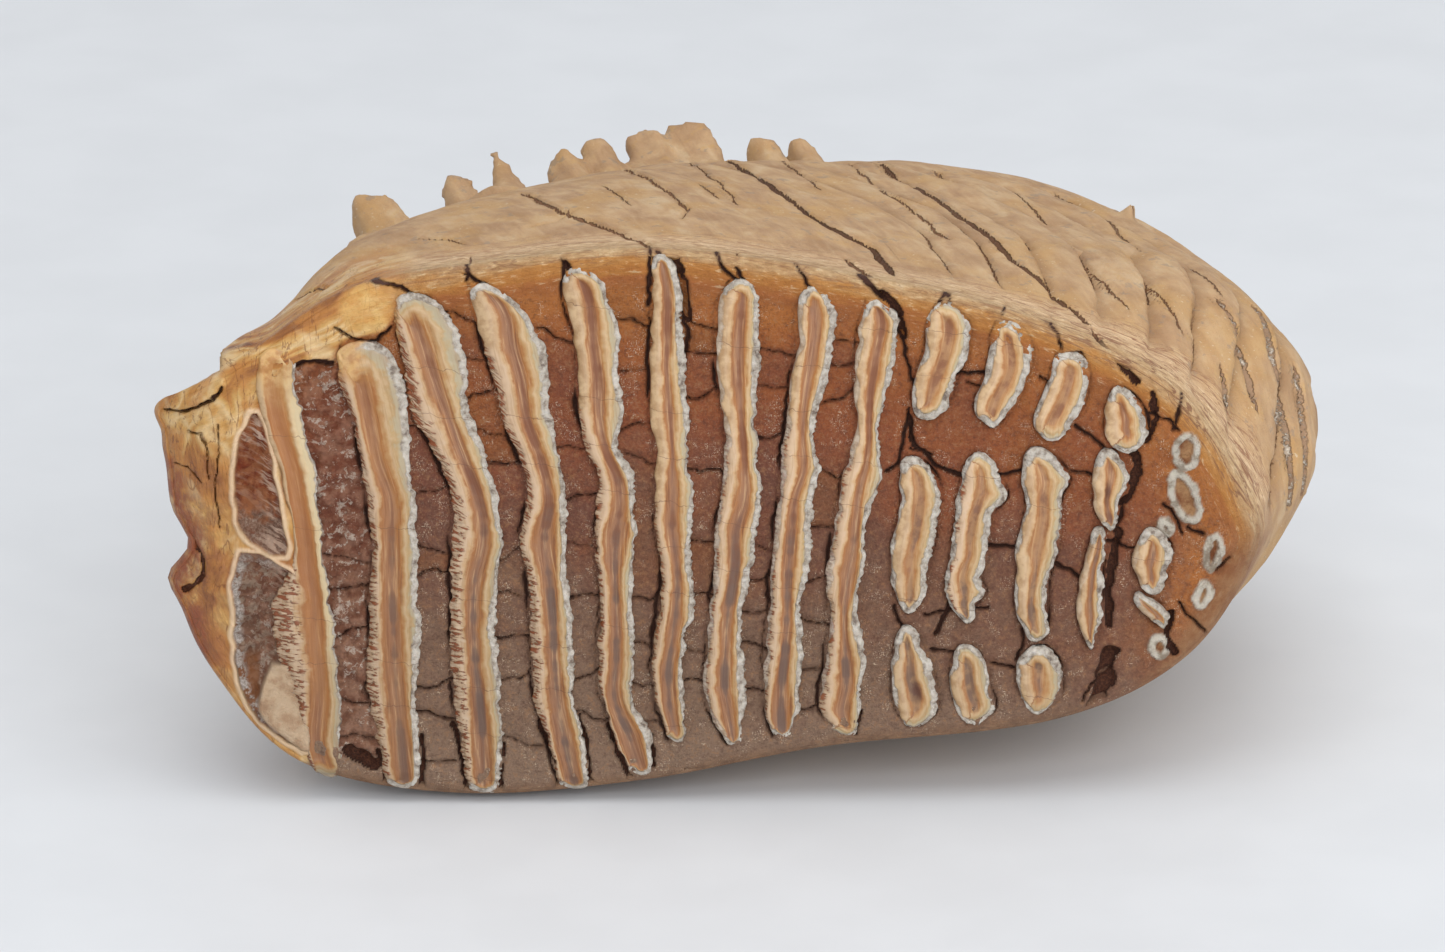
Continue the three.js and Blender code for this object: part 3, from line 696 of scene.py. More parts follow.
def side_grooves(grooves, start, depth):
    """Tiled ridges between grooves: how far each place stands out, and the nearest groove."""
    grooves = np.array(grooves, float)
    index = np.interp(start, grooves, np.arange(len(grooves)))
    nearest = np.round(index)
    signed = start - grooves[nearest.astype(int)]
    broken = step(-0.25, 0.35, noise([nearest * 37.0, depth], 13, 13))
    share = index - np.floor(index)
    tile = share ** 1.2 * step(1, 0.86, share) - 0.4
    rounded = np.clip(np.abs(signed) / 3.5, 0, 1) ** 0.6 - 0.7
    return 0.6 * tile + 0.5 * rounded, signed, broken


def tablet_height(along, height):
    """A thin slab on the front end's upper corner, above a crack."""
    above = height - np.interp(along, TABLET_EDGE[:, 0], TABLET_EDGE[:, 1])
    return TABLET_HEIGHT * step(0, 1.0, above) * step(14.2, 13.4, along) * step(-3, 1, along)


def front_chips(along, height, depth):
    """Chips on the front end's upper corner, and the thin slab there."""
    chips = (CHIP_HEIGHT * step(13.3, 14.1, along) - CHIP_DEPTH) * step(24, 16, along)
    chips = chips * step(0, 5, along) * step(66, 74, height)
    return chips * step(34, 24, depth) + tablet_height(along, height) * step(16, 8, depth)


def splinter(along, depth):
    """The thin splinter's height at each place."""
    away = ((along - SPLINTER[0]) / SPLINTER_HALF[0]) ** 2 + ((depth - SPLINTER[1]) / SPLINTER_HALF[1]) ** 2
    return SPLINTER_HEIGHT * np.exp(-away)


def side_relief(spots):
    """How far the crown's side stands out at each place, and its fields."""
    along, height, depth = spots[..., 0], spots[..., 1], spots[..., 2]
    wander = 0.9 * noise([along, height, depth], 11, 11) + 0.3 * noise([along, height, depth], 3, 12)
    start = plate_start(along, depth)
    upper = step(46, 58, height)
    fade = step(8, 26, depth) * step(*RIDGE_FADES[::-1], depth) * step(230, 218, start)
    strength = fade * (0.15 + 0.85 * step(135, 172, start))
    crest, groove, broken = side_grooves(UPPER_GROOVES, start + wander, depth)
    low_crest, low_groove, low_broken = side_grooves(LOWER_GROOVES, start + wander, depth)
    crest = crest * upper + low_crest * (1 - upper)
    groove = np.where(height > 52, groove, low_groove)
    groove_wide = 0.11 * strength * np.where(height > 52, broken * upper, low_broken * (1 - upper))
    cut, wide, mask, filled = side_cracks(along, np.where(height > 50, depth, -50))
    closer = (np.abs(groove) - groove_wide < np.abs(cut) - wide) & (groove_wide > 0.03)
    groove_mask = step(1.3, 0.7, np.abs(groove)) * step(0.03, 0.1, groove_wide)
    white = step(196, 212, start) * step(0.1, 0.5, noise([along, height, depth], 7, 61)) * upper
    cut = np.where(closer, groove, cut)
    wide = np.where(closer, groove_wide * (1 + white), wide)
    mask = np.where(closer, groove_mask, mask) * step(*CRACK_FADES[::-1], depth)
    filled = np.where(closer, white, filled)
    large = 0.5 * rough([along, height, depth], 24, 21) * step(4, 25, depth)
    fine = 0.05 * rough([along, height, depth], 2.6, 31) * step(2, 8, depth)
    swell = 0.25 * noise([start, depth * 0.1, height * 0.1], 5, 41) * step(8, 30, depth)
    layers = (depth + 2.5 * noise([along, depth], 24, 51)) / 3.1
    ledge = (layers - np.floor(layers)) ** 3 * 0.35 * step(4, 7, depth)
    ledge = ledge * step(22, 14, depth) * step(30, 60, height)
    tilt = 0.45 * np.sign(cut) * step(1.8, 0.2, np.abs(cut)) * mask * step(0, 0.2, wide)
    raised = crest * (1.3 + 1.5 * step(165, 192, start)) * strength
    raised = raised + tilt + large + fine + swell + ledge + front_chips(along, height, depth)
    raised = raised + splinter(along, depth) * upper
    slit = np.minimum(0.5 + wide, 1.2) * step(wide + 0.7, wide * 0.3, np.abs(cut))
    raised = raised - slit * (wide > 0) * mask
    return raised, {"cut": cut, "wide": wide, "mask": mask, "white": filled, "crest": crest * strength}


def crown_rows(rings):
    """Rows of places from the middle of the face to the middle of the base, and each one's rim field."""
    count = len(rings[0])
    edge = rings[0][:, :2]
    reach = np.linalg.norm(edge - FACE_MIDDLE, axis=1)[:, None]
    rows = []
    rims = []
    for share in HIDDEN_SHARES:
        flat = FACE_MIDDLE + (edge - FACE_MIDDLE) * share
        rows.append(np.column_stack([flat, face_depth(flat[:, 0]) + HIDDEN_DEPTH]))
        rims.append(np.full(count, 12.0))
    for offset in LIP_OFFSETS:
        flat = FACE_MIDDLE + (edge - FACE_MIDDLE) * (1 - offset / reach)
        rim = rim_distance(flat[:, 0], flat[:, 1])
        depth = lip_depth(rim) + SKIN_GAP + SKIN_SUNK * step(0.95, 2.8, rim)
        rows.append(np.column_stack([flat, face_depth(flat[:, 0]) + depth]))
        rims.append(rim)
    depths = np.concatenate([np.arange(*row) for row in SIDE_ROWS])
    levels = np.array([side_ring(rings, share)[0, 2] for share in np.linspace(0, 1, 200)])
    for wanted in depths:
        ring = side_ring(rings, np.interp(wanted, levels, np.linspace(0, 1, 200)))
        fall = face_depth(ring[:, 0]) * np.maximum(0, 1 - ring[:, 2] / FALL_FADES_BY)
        rows.append(np.column_stack([ring[:, :2], ring[:, 2] + fall]))
        rims.append(np.full(count, EDGE_DEPTH - wanted))
    last = rings[3][:, :2]
    for share in BASE_SHARES:
        flat = BASE_MIDDLE + (last - BASE_MIDDLE) * share
        depth = base_depth(share)
        rows.append(np.column_stack([flat, np.full(count, depth)]))
        rims.append(np.full(count, EDGE_DEPTH - depth))
    return np.array(rows), np.array(rims)


def make_crown(material):
    """The crown's lip, sides and base as one closed skin. Its face lies hidden under the cement."""
    spots, rim = crown_rows(crown_rings(crown_shares()))
    points = to_frame(spots)
    normals = grid_normals(points)
    raised, marks = side_relief(spots)
    on_side = step(1, -3, rim)
    points = points + normals * (raised * on_side)[..., None]
    # The underside is worn flat where the tooth rests.
    points[..., 2] = np.maximum(points[..., 2], 0)
    lip = rim > -3
    gap = np.full(rim.shape, 3.0)
    gap[lip] = crack_gap(spots[lip][:, 0], spots[lip][:, 1])
    crack = np.clip(0.6 - gap, 0, 1) * step(-2.6, -1, rim)
    fields = {
        "spot": spots.reshape(-1, 3), "rim": rim.ravel(), "cut": marks["cut"].ravel(), "crack": crack.ravel(),
        # The crest field carries the ridges' height, which the side's colour turns into painted shade in the
        # grooves and painted highlights on the crests.
        "crest": (marks["crest"] * on_side).ravel(),
        "wide": marks["wide"].ravel(), "mask": (marks["mask"] * on_side).ravel(),
        "white": (marks["white"] * on_side).ravel(), "honey": honey_amount(spots).ravel(),
    }
    quads, caps = closed_tube(*rim.shape)
    return make_piece("crown", points.reshape(-1, 3), quads, caps, fields, material)


def honey_amount(spots):
    """How much a place belongs to the smooth honey-coloured front end."""
    along, height, depth = spots[..., 0], spots[..., 1], spots[..., 2]
    flat = signed_distance(HONEY_EDGE, along.ravel(), height.ravel()).reshape(along.shape)
    wavy = flat + 1.2 * noise([along, height], 5, 71)
    soft = 0.8 + 3.5 * step(94, 101, height)
    return step(soft, -soft, wavy) * step(34, 20, depth + 4 * noise([along, height], 12, 72))


# The chewing face: sheets of cement and the honey-coloured front end, with cracks and pockets

PLATE_OUTLINES = [rows_outline(rows) for rows in PLATES]
ISLAND_OUTLINES = [rows_outline(rows) for rows in ISLANDS]
RING_OUTLINES = [ring_outline(*ring) for ring in RINGS]
POCKET_OUTLINES = [rows_outline(rows) for rows in POCKETS]
# Drawn half widths are narrowed by this share, because the edges of a crack get painted shade too.
CRACK_WIDTH = 0.75
CRACK_DEPTH = 1.3
GAP_DEPTH = 2.8
# The islands with the widest gap on their right, which paints the widest shadow, by their place in the list.
GAPPED_ISLANDS = (9, 10, 11)


def crack_lines():
    """Every crack of the face as (half width, line)."""
    lines = list(FACE_CRACKS)
    for k, heights in enumerate(CROSS_CRACKS):
        for n, height in enumerate(heights):
            left = float(edge_at(PLATES[k], 4, height))
            right = float(edge_at(PLATES[k + 1], 1, height))
            at = np.linspace(left - 0.6, right + 0.4, 7)
            wave = 0.7 * noise([at, np.full(7, height * 3.7)], 2.6, 81)
            line = np.column_stack([at, height + wave + 0.25 * (at - at[3]) * ((n % 3) - 1)])
            lines.append((0.02 + 0.13 * float(lattice([np.array([k]), np.array([n])], 82)[0]), line))
    return lines


def crack_gap(along, height):
    """Distance to the nearest crack's edge, negative inside a crack."""
    shift_along = along + 0.5 * noise([along, height], 4, 83) + 0.25 * rough([along, height], 1.3, 85, 2)
    shift_height = height + 0.5 * noise([along, height], 4, 84) + 0.25 * rough([along, height], 1.3, 87, 2)
    nearest = np.full(along.shape, 3.0)
    for half, line in crack_lines():
        near = window(line, 3, along, height)
        if near.any():
            gap = distance_to(line, shift_along[near], shift_height[near]) - half * CRACK_WIDTH
            nearest[near] = np.minimum(nearest[near], gap)
    return nearest


def deep_gap(along, height):
    """How deep the wide dark gaps go at each place."""
    bent = along + 0.5 * noise([along, height], 2.2, 86)
    deep = np.zeros(along.shape)
    for half, line in DEEP_GAPS:
        uneven = 0.3 * noise([along, height], 1.2, 87) + 0.3 * half * noise([along, height], 2.6, 88)
        away = distance_to(line, bent, height) - half * CRACK_WIDTH + uneven
        deep = np.maximum(deep, step(0.35, -0.5, away) * min(1, 0.4 + half * 0.5))
    return deep


def moat_gap(along, height):
    """Distance from the dark gap that runs beside each plate and island; beside an island it lies only on the
    right, away from the light, and its dark there is painted shadow over a groove.
    """
    nearest = np.full(along.shape, 3.0)
    for k, outline in enumerate(PLATE_OUTLINES[1:]):
        left = outline[:60]
        line = left - [0.45, 0]
        near = np.abs(along - np.interp(height, line[:, 1], line[:, 0])) < 3
        x, y = along[near], height[near]
        ragged = 0.3 * noise([x, y], 1.3, 96) + 0.4 * noise([x, y], 3.6, 97)
        gap = distance_to(line, x + ragged, y)
        width = -0.14 + 0.42 * step(-0.5, 0.8, noise([x * 0.5, y], 7, 90 + k))
        nearest[near] = np.minimum(nearest[near], gap - width)
    # Beside the islands the gap lies on their right, away from the light: painted shadow, over a groove in
    # the cement.
    for k, outline in enumerate(ISLAND_OUTLINES):
        gap = signed_distance(outline, along, height, 3)
        middle = outline.mean(axis=0)
        right = step(-1, 3, along - middle[0])
        width = (0.5 if k in GAPPED_ISLANDS else 0.28) * right * noise([along, height], 5, 95) - 0.02
        nearest = np.minimum(nearest, np.abs(gap - 0.1) - width)
    return nearest


def block_tone(along, height):
    """A tone from -1 to 1 for each block of cement between two plates and two cross cracks."""
    tone = 0.8 * noise([along, height], 16, 121)
    bent = height + 0.6 * noise([along, height], 2.6, 122)
    for k, heights in enumerate(CROSS_CRACKS):
        left = middle_of(k, height)
        right = middle_of(k + 1, height)
        block = np.searchsorted(np.array(heights[::-1], float), bent)
        own = 2 * lattice([np.full(along.shape, k), block], 123) - 1
        tone = np.where((along > left) & (along <= right), own, tone)
    return tone


def face_relief(along, height):
    """Depth of the face's cement and honey end below the face, and its fields."""
    rim = rim_distance(along, height)
    spots = np.stack([along, height, np.zeros_like(along)], axis=-1)
    honey = honey_amount(spots)
    inner = step(1.0, 6.0, rim)
    depth = lip_depth(rim)
    depth += 0.35 * rough([along, height], 7, 101) * inner
    depth += 0.15 * rough([along, height], 1.4, 102, 2) * inner
    crack = np.minimum(crack_gap(along, height), moat_gap(along, height))
    crack = np.where(honey > 0.5, crack + 0.12, crack)
    deep = deep_gap(along, height)
    depth += CRACK_DEPTH * step(0.15, -0.15, crack) * step(0.5, 2, rim) + GAP_DEPTH * deep
    depth += 0.5 * step(1.6, 0.1, crack) ** 2 * inner * (1 - honey)
    # The first strip and the pockets are crumbly.
    first = step(0.6, -0.4, signed_distance(first_strip(), along, height, 4))
    walls = [signed_distance(outline, along, height, 6) for outline in POCKET_OUTLINES]
    wall = np.minimum(*walls) + 0.35 * noise([along, height], 2.5, 106)
    cream = step(0.3, -0.5, signed_distance(rows_outline(CREAM_PATCH), along, height, 4))
    pocket = step(0.25, -0.4, wall)
    crumb = np.maximum(first, pocket * (1 - cream))
    grain = lumps([along, height], 1.5, 103) - 0.4 + 0.8 * rough([along, height], 2.6, 104)
    depth += crumb * 0.85 * grain
    depth += honey * (1 - pocket) * (0.35 - (CEMENT_SUNK - LIP_TOP) * step(LIP_WIDTH, CEMENT_FROM, rim))
    depth += pocket * (1 - cream) * 1.5 * step(0.4, -3.4, wall)
    depth -= pocket * cream * 1.1
    # A raised rim round the pockets, painted pale: partly its own colour, partly a painted highlight.
    pale_rim_and_highlight = step(0.9, 0.3, np.abs(wall - 0.4)) * (1 - pocket)
    depth -= pale_rim_and_highlight * 0.4 * honey
    folds = 0.7 * noise([along, height * 0.4], 5, 105) + 0.3 * noise([along, height * 0.5], 2.2, 107)
    depth += honey * (1 - pocket) * folds * inner - tablet_height(along, height) * step(0.5, 2, rim)
    rings, bowls = low_rings(along, height)
    depth -= 0.6 * rings - 0.3 * bowls
    # The crack field is full in the deep gaps, which paints shade into them.
    fields = {
        "spot": np.stack([along, height, depth + face_depth(along)], axis=-1), "rim": rim,
        "crack": np.clip(0.6 - np.where(deep > 0.3, -0.4, crack), 0, 1), "honey": honey, "crumb": crumb,
        "tone": block_tone(along, height), "pocket": pocket, "cream": cream * pocket, "ring": rings,
        "bowl": bowls, "pale_rim_and_highlight": pale_rim_and_highlight, "wall": wall,
    }
    return depth + face_depth(along), fields


def first_strip():
    """The crumbly cement between the first two plates."""
    heights = np.linspace(8, 86.5, 30)
    left = edge_at(PLATES[0], 4, heights) - 1
    right = edge_at(PLATES[1], 1, heights) + 0.6
    return strip_outline(left, right, heights)


def low_rings(along, height):
    """Raised crumbly walls of the plates that barely show, and the brown bowls inside them."""
    walls = np.zeros_like(along)
    bowls = np.zeros_like(along)
    for k, outline in enumerate(RING_OUTLINES):
        gap = signed_distance(outline, along, height, 3) + 0.3 * noise([along, height], 1.1, 111 + k)
        walls = np.maximum(walls, step(0.95, 0.6, np.abs(gap + 0.8)))
        bowls = np.maximum(bowls, step(-1.3, -1.7, gap))
    return walls, bowls


def make_sheet(name, keep, low, high, spacing, material):
    """A closed sheet over the part of the face where keep(along, height) is positive."""
    alongs = np.arange(low[0], high[0] + spacing, spacing)
    heights = np.arange(low[1], high[1] + spacing, spacing)
    along, height = np.meshgrid(alongs, heights)
    field = keep(along, height)
    cells = (field[:-1, :-1] + field[1:, :-1] + field[:-1, 1:] + field[1:, 1:]) > 0
    padded = np.pad(cells, 1)
    shape = along.shape
    shifts = itertools.product((0, 1), repeat=2)
    touching = sum(padded[i:i + shape[0], j:j + shape[1]].astype(int) for i, j in shifts)
    border = (touching > 0) & (touching < 4)
    slope_height, slope_along = np.gradient(field, spacing)
    steep = np.maximum(slope_along ** 2 + slope_height ** 2, 0.2)
    move = np.clip(-field / steep, -1.5 * spacing, 1.5 * spacing) * border
    along = along + move * slope_along
    height = height + move * slope_height
    used = touching > 0
    number = np.full(along.shape, -1)
    number[used] = np.arange(used.sum())
    depth, fields = face_relief(along[used], height[used])
    top = to_frame(np.column_stack([along[used], height[used], depth]))
    rows, columns = np.nonzero(cells)
    corners = [(rows, columns), (rows, columns + 1), (rows + 1, columns + 1), (rows + 1, columns)]
    quads = np.column_stack([number[corner] for corner in corners])
    loops = border_loops(quads)
    points = [top]
    skirts = []
    caps = []
    total = len(top)
    sources = [np.arange(total)]
    for loop in loops:
        count = len(loop)
        lowered = np.column_stack([along[used][loop], height[used][loop], depth[loop] + 3])
        points.append(to_frame(lowered))
        sources.append(loop)
        first = total + np.arange(count)
        after = np.roll(first, -1)
        skirts.append(np.column_stack([loop, first, after, np.roll(loop, -1)]))
        caps.append(first)
        total += count
    source = np.concatenate(sources)
    fields = {field: values[source] for field, values in fields.items()}
    all_quads = np.vstack([quads, *skirts])
    flat = np.arange(len(quads), len(all_quads))
    return make_piece(name, np.vstack(points), all_quads, caps, fields, material, flat)


def border_loops(quads):
    """The border of a patch of faces as loops of point numbers, in the faces' own direction."""
    starts = quads.ravel()
    ends = np.roll(quads, -1, axis=1).ravel()
    forward = set(zip(starts.tolist(), ends.tolist()))
    follows = {start: end for start, end in forward if (end, start) not in forward}
    loops = []
    while follows:
        start, at = follows.popitem()
        loop = [start]
        while at != start:
            loop.append(at)
            at = follows.pop(at)
        loops.append(np.array(loop))
    return loops


def face_part(left, right):
    """A test for the strip of the face between two lines, each a plate's middle or None."""
    def keep(along, height):
        field = rim_distance(along, height) - 0.9
        if left is not None:
            field = np.minimum(field, along - middle_of(left, height) + 1.2)
        if right is not None:
            field = np.minimum(field, middle_of(right, height) + 1.2 - along)
        return field
    return keep


def middle_of(plate, height):
    """The middle line of a worn plate, carried on past both its ends."""
    rows = PLATES[plate]
    inside_height = np.clip(height, rows[-1][0], rows[0][0])
    return (edge_at(rows, 2, inside_height) + edge_at(rows, 3, inside_height)) / 2


# Worn plates and islands

# Rows of points up a plate, how deep its closed foot lies, and columns across its three bands.
PLATE_ROW = 0.27
PLATE_FOOT = 4.2
COLUMNS = (11, 8, 13)
# How far from its ends a plate and an island begin to narrow.
PLATE_TIP = 4.2
ISLAND_TIP = 3


def plate_depth(band, run, combed, wide, chalk, seed):
    """Depth below the face across a plate: left flank 0 to 1, dentine 1 to 2, right band 2 to 3."""
    flank_share = np.clip(band, 0, 1)
    teeth = 0.5 + 0.5 * np.cos(2 * math.pi * (run + 0.35 * noise([run], 1.7, seed)) / 0.85)
    fringe = 0.95 - 0.8 * step(0, 0.4, flank_share) - 0.15 * step(0.4, 0.8, flank_share)
    fringe = fringe + 0.3 * teeth * (1 - step(0.1, 0.55, flank_share))
    smooth = 1.3 * (1 - np.sqrt(np.clip(1 - (1 - flank_share) ** 2.4, 0, 1)))
    flank = combed * fringe + (1 - combed) * smooth + 0.1 * step(0.85, 1, flank_share)
    middle = np.clip(band - 1, 0, 1)
    dish = (0.1 + 0.08 * wide) * (1 - (2 * middle - 1) ** 2)
    side = np.clip(band - 2, 0, 1)
    crest = 0.1 - 0.1 * step(0, 0.25, side) + 0.3 * step(0.3, 0.5, side)
    depth = np.where(band < 1, flank, np.where(band < 2, 0.1 + dish, crest))
    return depth + chalk * (0.12 + 0.45 * side * step(0.8, 1, side))


def chalk_amount(along, height, to_left, to_right, right_band, shell, chalky, seed):
    """How much a place on a plate belongs to the chalky crumbs beside it."""
    jagged = 0.16 * noise([along, height], 0.9, seed + 6) + 0.3 * noise([along, height], 2.6, seed + 7)
    width = chalky * (1.15 + 0.8 * noise([height, along * 0.2], 7, seed + 12)) + jagged
    width = np.minimum(np.maximum(width, 0.12), 0.62 * right_band + 0.2)
    chalk = step(width + 0.08, width - 0.08, to_right)
    left_width = 0.6 + 0.7 * noise([height, along * 0.2], 3.4, seed + 13) + jagged
    return np.maximum(chalk, step(left_width + 0.08, left_width - 0.08, to_left) * step(0.3, 0.6, shell))


def plate_points(edges, heights, combed, seed, wear, shell, chalky):
    """Rows of points across one plate, closed below, with their fields."""
    left, from_, to, right = edges
    run = heights
    slope = np.gradient((left + right) / 2, run)
    square = 1 / np.sqrt(1 + slope ** 2)
    full = np.clip((right - left) / 3, 0, 1)
    left_band = np.maximum((from_ - left) * square, 0.4)[:, None]
    right_band = np.maximum((right - to) * square, 0.4)[:, None]
    ends = np.minimum(run - run[0], run[-1] - run)
    tips = tip_shares(ends, PLATE_TIP if shell < 0.9 else ISLAND_TIP)
    left, from_, to, right = draw_in(edges, tips)
    alongs = []
    for low, high, number in ((left, from_, COLUMNS[0]), (from_, to, COLUMNS[1]), (to, right, COLUMNS[2])):
        alongs += [low + (high - low) * k / number for k in range(number)]
    along = np.column_stack([*alongs, right])
    height = np.repeat(run[:, None], along.shape[1], axis=1)
    # Bands follow the distance from the plate's outline, so they close round its ends.
    trimmed = slice(8, -4) if shell < 0.5 else slice(3, -3)
    combed = (combed + np.zeros(len(run)))[:, None]
    every = slice(None, None, 3)
    left_line = np.column_stack([left, run])
    right_line = np.column_stack([right, run])
    to_left = distance_to(left_line[trimmed][every], along, height)
    wrapped = np.vstack([left_line[:5][::-1], right_line[every], right_line[-1:], left_line[-9:][::-1]])
    to_right = distance_to(wrapped, along, height)
    wave = 0.07 * noise([along, height], 1.6, seed + 4) + 0.04 * noise([along, height], 0.6, seed + 5)
    u = to_left / left_band + wave
    v = to_right / right_band + wave
    inner = (to_left - left_band) / np.maximum(to_left - left_band + to_right - right_band, 0.05)
    band = np.where(np.minimum(u, v) >= 1, 1 + np.clip(inner, 0, 1), np.where(u < v, np.clip(u, 0, 1), 3 - v))
    band = np.clip(band, 0, 3)
    chalk = chalk_amount(along, height, to_left, to_right, right_band, shell, chalky, seed)
    chunks = lumps([along + 0.5 * noise([along, height], 1.3, seed + 8), height], 1.1, seed + 9)
    depth = plate_depth(band, height, combed, (to_edge(edges) * square)[:, None], chalk, seed + 10)
    depth = depth + chalk * 0.5 * (chunks - 0.45) + 0.07 * noise([height, along], 2.5, seed + 11)
    rim = rim_distance(along[:, 16], run)
    roll = (lip_depth(np.minimum(rim, LIP_WIDTH)) - LIP_TOP)[:, None]
    depth = depth + wear + 0.9 * roll + face_depth(along)
    # Ragged outlines: a fine fringe on the left, broken lumps on the right.
    ragged_left = combed[:, 0] * 0.3 * noise([run], 0.6, seed) + 0.35 * noise([run], 2.4, seed + 1)
    ragged_right = 0.6 * np.abs(noise([run], 1.0, seed + 2)) + 0.5 * noise([run], 3, seed + 3)
    across = np.linspace(0, 1, along.shape[1])
    pull = ragged_left[:, None] * (1 - across) ** 4 - ragged_right[:, None] * across ** 4
    along = along + pull * full[:, None]
    foot = np.column_stack([PLATE_FOOT + roll[:, 0] + face_depth(along[:, k]) for k in (-1, 0)])
    along = np.column_stack([along, along[:, -1], along[:, 0]])
    height = np.repeat(run[:, None], along.shape[1], axis=1)
    spots = np.stack([along, height, np.column_stack([depth, foot])], axis=-1)
    core = along - ((from_ + to) / 2)[:, None]
    fields = {"band": band, "chalk": chalk, "core": core[:, :-2], "left": to_left,
              "comb": combed + np.zeros_like(band), "island": np.full(band.shape, float(shell > 0.9))}
    fields = {name: np.column_stack([one, one[:, -1], one[:, 0]]) for name, one in fields.items()}
    return spots, fields


def to_edge(edges):
    """The dentine's width."""
    return np.maximum(edges[2] - edges[1], 0)


def tip_shares(ends, tip):
    """How full a plate's width is at distances from its ends, for blunt rounded ends."""
    inside_share = np.clip(ends / tip, 0.001, 1)
    return (1 - (1 - inside_share) ** 2.6) ** (1 / 2.2)


def draw_in(edges, shares):
    """Draws a plate's edges in towards its middle."""
    middle = (edges[0] + edges[3]) / 2
    return [middle + (edge - middle) * shares for edge in edges]


def join_plates(name, shapes, material):
    """One piece from several plates, each given as (edges, heights, combed, seed, wear, shell, chalky)."""
    points, quads, caps, fields = [], [], [], {}
    first = 0
    for shape in shapes:
        spots, local = plate_points(*shape)
        rows, columns = spots.shape[:2]
        local["one"] = np.full((rows, columns), float(lattice([np.array([shape[3]])], 3)[0]))
        points.append(to_frame(spots).reshape(-1, 3))
        faces, ends = closed_tube(rows, columns, first, True)
        quads.append(faces)
        caps += ends
        fields.setdefault("spot", []).append(spots.reshape(-1, 3))
        for field, values in local.items():
            fields.setdefault(field, []).append(values.ravel())
        first += rows * columns
    joined = {field: np.concatenate(values) for field, values in fields.items()}
    return make_piece(name, np.vstack(points), np.vstack(quads), caps, joined, material)


def blunt_rows(rows):
    """A plate's rows with each end widened halfway to the row next to it, round the end's middle."""
    rows = [list(row) for row in rows]
    for end, near in ((0, 1), (-1, -2)):
        shift = (rows[end][1] + rows[end][-1] - rows[near][1] - rows[near][-1]) / 2
        rows[end][1:] = [(edge + shift + own) / 2 for edge, own in zip(rows[near][1:], rows[end][1:])]
    return rows


def shape_from(rows, fractions=None, seed=0):
    """Edges and heights of a plate from its rows."""
    rows = blunt_rows(rows)
    heights = np.arange(rows[-1][0] - 0.5, rows[0][0] + 0.5, PLATE_ROW)
    inner = np.clip(heights, rows[-1][0], rows[0][0])
    if fractions is None:
        return [edge_at(rows, column, inner) for column in (1, 2, 3, 4)], heights
    left = edge_at(rows, 1, inner)
    width = edge_at(rows, 2, inner) - left
    edges = [left]
    for k, fraction in enumerate(fractions):
        edges.append(left + width * (fraction + 0.05 * noise([heights], 5, seed + k)))
    return [*edges, left + width], heights


def plate_shapes(first, last):
    """Some of the plates that cross the whole face."""
    shapes = []
    for k in range(first, last):
        edges, heights = shape_from(PLATES[k])
        combed = COMBED[k] * step(COMB_TOPS[k] + 3, COMB_TOPS[k] - 3, heights)
        chalky = 1
        if k == 0:
            chalky = 0.3
        if k == 1:
            chalky = 1 + 0.9 * (step(66, 76, heights) * step(89, 84, heights))[:, None]
        shapes.append((edges, heights, combed, 200 + 20 * k, 0, 0.45 if k > 5 else 0, chalky))
    return shapes


def island_shapes():
    """The plates that show only as islands."""
    shapes = []
    for k, rows in enumerate(ISLANDS):
        edges, heights = shape_from(rows, (0.38, 0.6), 400 + k)
        shapes.append((edges, heights, 0.6 if k == 4 else 0, 500 + 20 * k, 0.1, 1 if k < 9 else 0.4, 1))
    return shapes


# Roots

def root_prong(start, tip, half, tip_share, seed):
    """Rings of one root, wide where it leaves the crown and blunt at its tip."""
    start, tip = np.array(start, float), np.array(tip, float) + (0, ROOT_LIFT, 0)
    angles = np.linspace(0, 2 * math.pi, ROOT_SIDES, endpoint=False)
    chipped = 1.6 * noise([np.cos(angles) * 2, np.sin(angles) * 2], 1, seed)
    slant = 3.4 * lattice([np.array([seed])], 7)[0] * np.cos(angles + seed) + chipped
    corner = 1 + 0.1 * np.cos(4 * angles + seed)
    rings = []
    for share in np.linspace(-0.12, 1, ROOT_ROWS):
        along = max(share, 0)
        centre = start + (tip - start) * share
        bend = ROOT_BEND * math.sin(math.pi * along)
        width = 1 + (tip_share - 1) * along ** 0.75 + 0.35 * math.exp(-along / 0.12)
        width *= math.sqrt(1 - 0.4 * max(0, (share - 0.95) / 0.05) ** 2)
        lobes = noise([np.cos(angles) * 3, np.sin(angles) * 3, np.full(ROOT_SIDES, share * 5)], 2, seed)
        lobes = corner + 0.14 * lobes
        rings.append(np.column_stack([
            centre[0] + bend + (ROOT_EXTRA + half[0] * width) * lobes * np.cos(angles),
            centre[1] - bend + (ROOT_EXTRA + half[1] * width) * lobes * np.sin(angles),
            centre[2] + slant * along,
        ]))
    return np.array(rings)


def root_shapes():
    """The back of the crown and every root, as (rows of points, whether its faces are turned)."""
    shares = np.linspace(0, 1, ROOT_RING, endpoint=False)
    rings = crown_rings(shares)
    back = [side_ring(rings, share) for share in np.linspace(0.36, 1, 20)]
    for share in (0.9, 0.75, 0.5, 0.2):
        flat = BASE_MIDDLE + (rings[3][:, :2] - BASE_MIDDLE) * share
        back.append(np.column_stack([flat, np.full(ROOT_RING, base_depth(share))]))
    skin = to_frame(np.array(back))
    skin = skin - grid_normals(skin) * 0.9
    return [(skin, False)] + [(to_frame(root_prong(*root, 600 + k)), True) for k, root in enumerate(ROOTS)]


